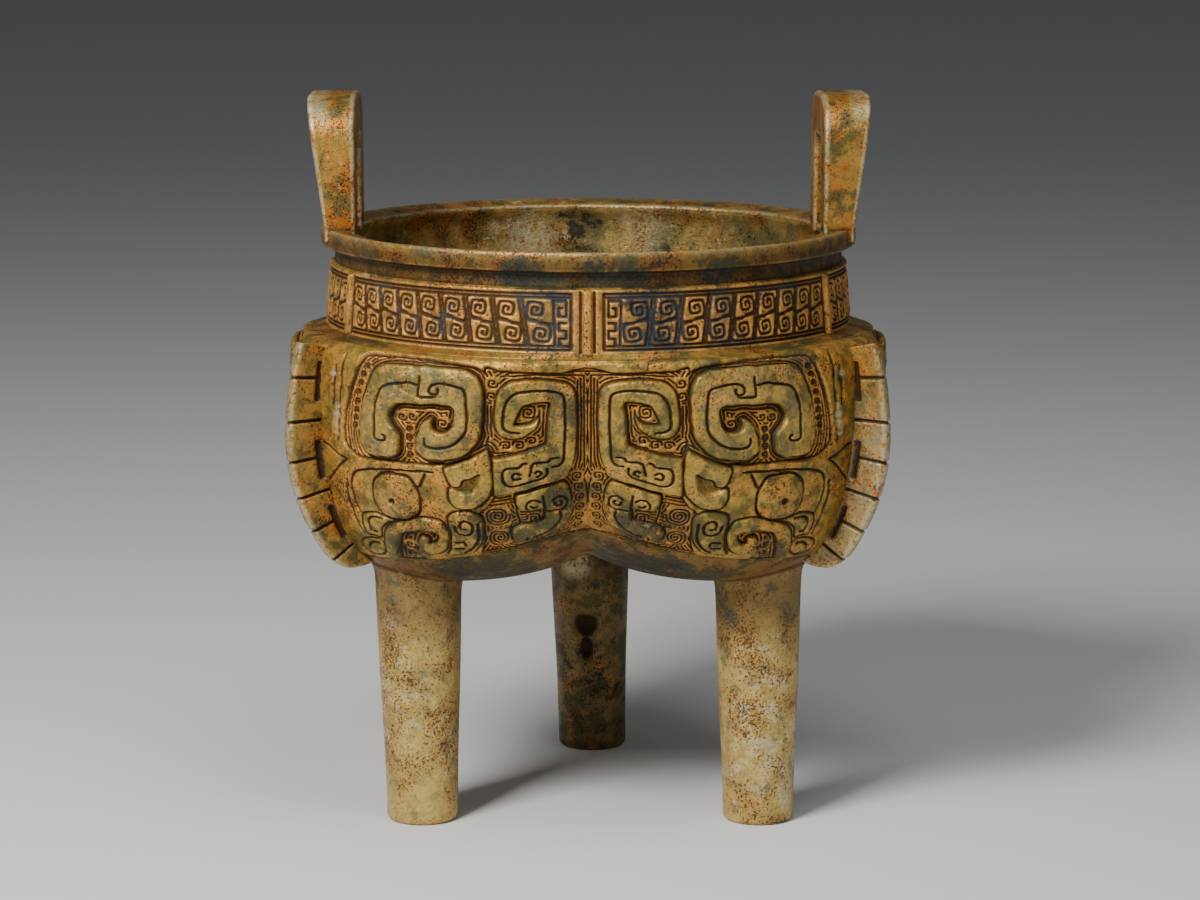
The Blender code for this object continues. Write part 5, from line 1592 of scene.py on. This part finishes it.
def rounded_block(radius, corner_steps, side_shares):
    """Shares across and outwards round a block with rounded edges, and where its edges are."""
    line, edge = [], []
    corners = (
        (1 - radius, radius, -90), (1 - radius, 1 - radius, 0), (radius, 1 - radius, 90),
        (radius, radius, 180),
    )
    for number, (x, y, start) in enumerate(corners):
        for step in range(corner_steps + 1):
            turn = math.radians(start + 90 * step / corner_steps)
            line.append((x + radius * math.cos(turn), y + radius * math.sin(turn)))
            edge.append(1.0)
        here = np.array(line[-1])
        x, y, start = corners[(number + 1) % 4]
        turn = math.radians(start)
        there = np.array((x + radius * math.cos(turn), y + radius * math.sin(turn)))
        for share in side_shares:
            line.append(tuple(here + (there - here) * share))
            edge.append(0.0)
    return np.array(line), np.array(edge)


section, section_edge = rounded_block(EDGE_SHARE, 4, (0.06, 0.25, 0.5, 0.75, 0.94))
across_share, out_share = section[:, 0], section[:, 1]
handle_foot = RIM_TOP_Z - HANDLE_EMBED
outer_arch = arch(HANDLE_WIDTH, HANDLE_TOP_Z, HANDLE_CORNER, handle_foot)
inner_arch = arch(
    HANDLE_WIDTH - 2 * HANDLE_BAR, HANDLE_TOP_Z - HANDLE_CROWN, HANDLE_INNER_CORNER, handle_foot
)
for name, side, twist in HANDLES:
    yaw = math.radians(twist)
    corners, grooves, wear = [], [], []
    for (outer_y, outer_z), (inner_y, inner_z) in zip(outer_arch, inner_arch):
        y = inner_y + (outer_y - inner_y) * out_share
        z = inner_z + (outer_z - inner_z) * out_share
        x = HANDLE_INNER_X + (handle_outer_x(z) - HANDLE_INNER_X) * across_share
        offset = x - HANDLE_INNER_X
        turned_x = HANDLE_INNER_X + offset * math.cos(yaw) - y * math.sin(yaw)
        turned_y = offset * math.sin(yaw) + y * math.cos(yaw)
        corners.append(np.stack([turned_x * side, turned_y * side, z], axis=1))
        grooves.append(FOOT_GRIME * np.exp(-np.abs(z - RIM_TOP_Z) / FOOT_GRIME_FALL))
        crown_rub = CROWN_RUB * smooth_step(z, 206, 213) * (across_share > 0.5)
        wear.append(EDGE_RUB * section_edge + crown_rub)
    tube(name, np.array(corners), {"groove": np.array(grooves), "wear": np.array(wear)}, handle_bronze)

# %% [markdown]
# ## The flanges
#
# The flange on the middle of each lobe is the mask's nose and crest. It is a fin with a level
# top, and its sides carry straight cuts that run in from the outer edge. Every second one
# ends in an upright bar and makes a T on its side.

# %% Carve the flanges
FLANGE_OUTLINE = (
    (97.0, 147.6), (98.9, 140.0), (100.2, 131.0), (100.9, 122.0), (100.6, 113.5), (99.0, 105.0),
    (96.2, 97.0), (92.4, 89.6), (88.2, 83.4), (83.6, 79.9), (78.6, 79.6), (74.6, 80.4),
)
FLANGE_THICK, FLANGE_EMBED, FLANGE_TOP_STATION = 4.0, 1.8, 1.9
FLANGE_NOTCHES = (0.125, 0.285, 0.43, 0.565, 0.70, 0.835)
T_REACH, T_BAR_UP, T_BAR_DOWN = 0.68, 4.6, 6.4
FLANGE_ROWS, FLANGE_SIDE = 236, 20
FLANGE_CUT_HALF, FLANGE_CUT_DEPTH, FLANGE_NICK, FLANGE_ROUND = 0.6, 1.0, 0.3, 0.7
# the rub along the flanges' outer edge is partly wear and partly a painted sheen
FLANGE_GRIME, FLANGE_RUB, FLANGE_RUB_WIDTH = 0.8, 0.7, 1.6
FLANGE_NAMES = {90.0: "flange_back", 210.0: "flange_left", 330.0: "flange_right"}
PALE_SIDE = {90.0: 0.15, 210.0: 0.0, 330.0: 0.42}

outer_edge = smooth_path(FLANGE_OUTLINE, 12)
edge_length = np.concatenate([[0.0], np.cumsum(np.hypot(*np.diff(outer_edge, axis=0).T))])
FLANGE_LENGTH = float(edge_length[-1])


def flange_cuts(along, depth_in, width):
    """How deep the flange is cut, at a length along it and a way in from its outer edge."""
    best = np.full(np.shape(depth_in), 9.0)
    for number, share in enumerate(FLANGE_NOTCHES):
        at = share * FLANGE_LENGTH
        if number % 2 == 0:
            reach = T_REACH * width
            stem = np.hypot(along - at, np.clip(depth_in - reach, 0, None))
            bar = np.hypot(depth_in - reach, along - np.clip(along, at - T_BAR_UP, at + T_BAR_DOWN))
            best = np.minimum(best, np.minimum(stem, bar * 0.5))
        else:
            best = np.minimum(best, np.abs(along - at))
    return cut(best, FLANGE_CUT_HALF, 1.0)


print("a flange is", round(FLANGE_LENGTH, 1), "mm long")

# %% Set the three flanges on their lobes
for flange, name in FLANGE_NAMES.items():
    turn = math.radians(flange)
    outward = np.array((math.cos(turn), math.sin(turn), 0.0))
    aside = np.array((-math.sin(turn), math.cos(turn), 0.0))
    corners, grooves, wear = [], [], []
    for share in np.linspace(0, 1, FLANGE_ROWS):
        r, z = (np.interp(share * FLANGE_LENGTH, edge_length, outer_edge[:, i]) for i in (0, 1))
        nearest = int(np.argmin(np.hypot(LOBE_CURVE[:, 0] - r, LOBE_CURVE[:, 1] - z)))
        station = max(nearest / CURVE_STEPS, FLANGE_TOP_STATION)
        top_blend = np.clip(1 - share / 0.05, 0, 1)
        station = station * (1 - top_blend) + FLANGE_TOP_STATION * top_blend
        root = on_curve(LOBE_CURVE, station)
        slope = on_curve(LOBE_CURVE, station + 0.05) - root
        root = root + np.array((slope[1], -slope[0])) / np.hypot(*slope) * FLANGE_EMBED
        width = float(np.hypot(r - root[0], z - root[1]))
        depth_in = width * (1 - np.linspace(0, 1, FLANGE_SIDE))
        cuts_here = flange_cuts(share * FLANGE_LENGTH, depth_in, width)
        half = FLANGE_THICK / 2 - FLANGE_CUT_DEPTH * cuts_here
        rim_round = np.clip(1 - depth_in / FLANGE_ROUND, 0, 1) ** 2 * 0.5
        half = half - rim_round
        edge_cut = float(cuts_here[-1]) * FLANGE_NICK
        reach = (1 - depth_in / width) * (1 - edge_cut / width)
        line = root[None] + (np.array((r, z)) - root)[None] * reach[:, None]
        left = outward * line[:, :1] - aside * half[:, None] + np.array((0, 0, 1.0)) * line[:, 1:]
        right = outward * line[:, :1] + aside * half[:, None] + np.array((0, 0, 1.0)) * line[:, 1:]
        corners.append(np.vstack([left, right[::-1]]))
        foot_grime = FLANGE_GRIME * np.exp(-np.abs(depth_in - (width - FLANGE_EMBED)) / 0.8)
        side_groove = np.clip(np.maximum(cuts_here, foot_grime), 0, 1)
        grooves.append(np.concatenate([side_groove, side_groove[::-1]]))
        # wear and painted sheen along the outer edge, with the pale side added
        rubbed = FLANGE_RUB * np.clip(1 - depth_in / FLANGE_RUB_WIDTH, 0, 1)
        rubbed = rubbed + PALE_SIDE[flange] * smooth_step(share, 0.1, 0.4)
        rubbed = np.clip(rubbed, 0, 1) * (1 - cuts_here)
        wear.append(np.concatenate([rubbed, rubbed[::-1]]))
    tube(name, np.array(corners), {"groove": np.array(grooves), "wear": np.array(wear)}, flange_bronze)
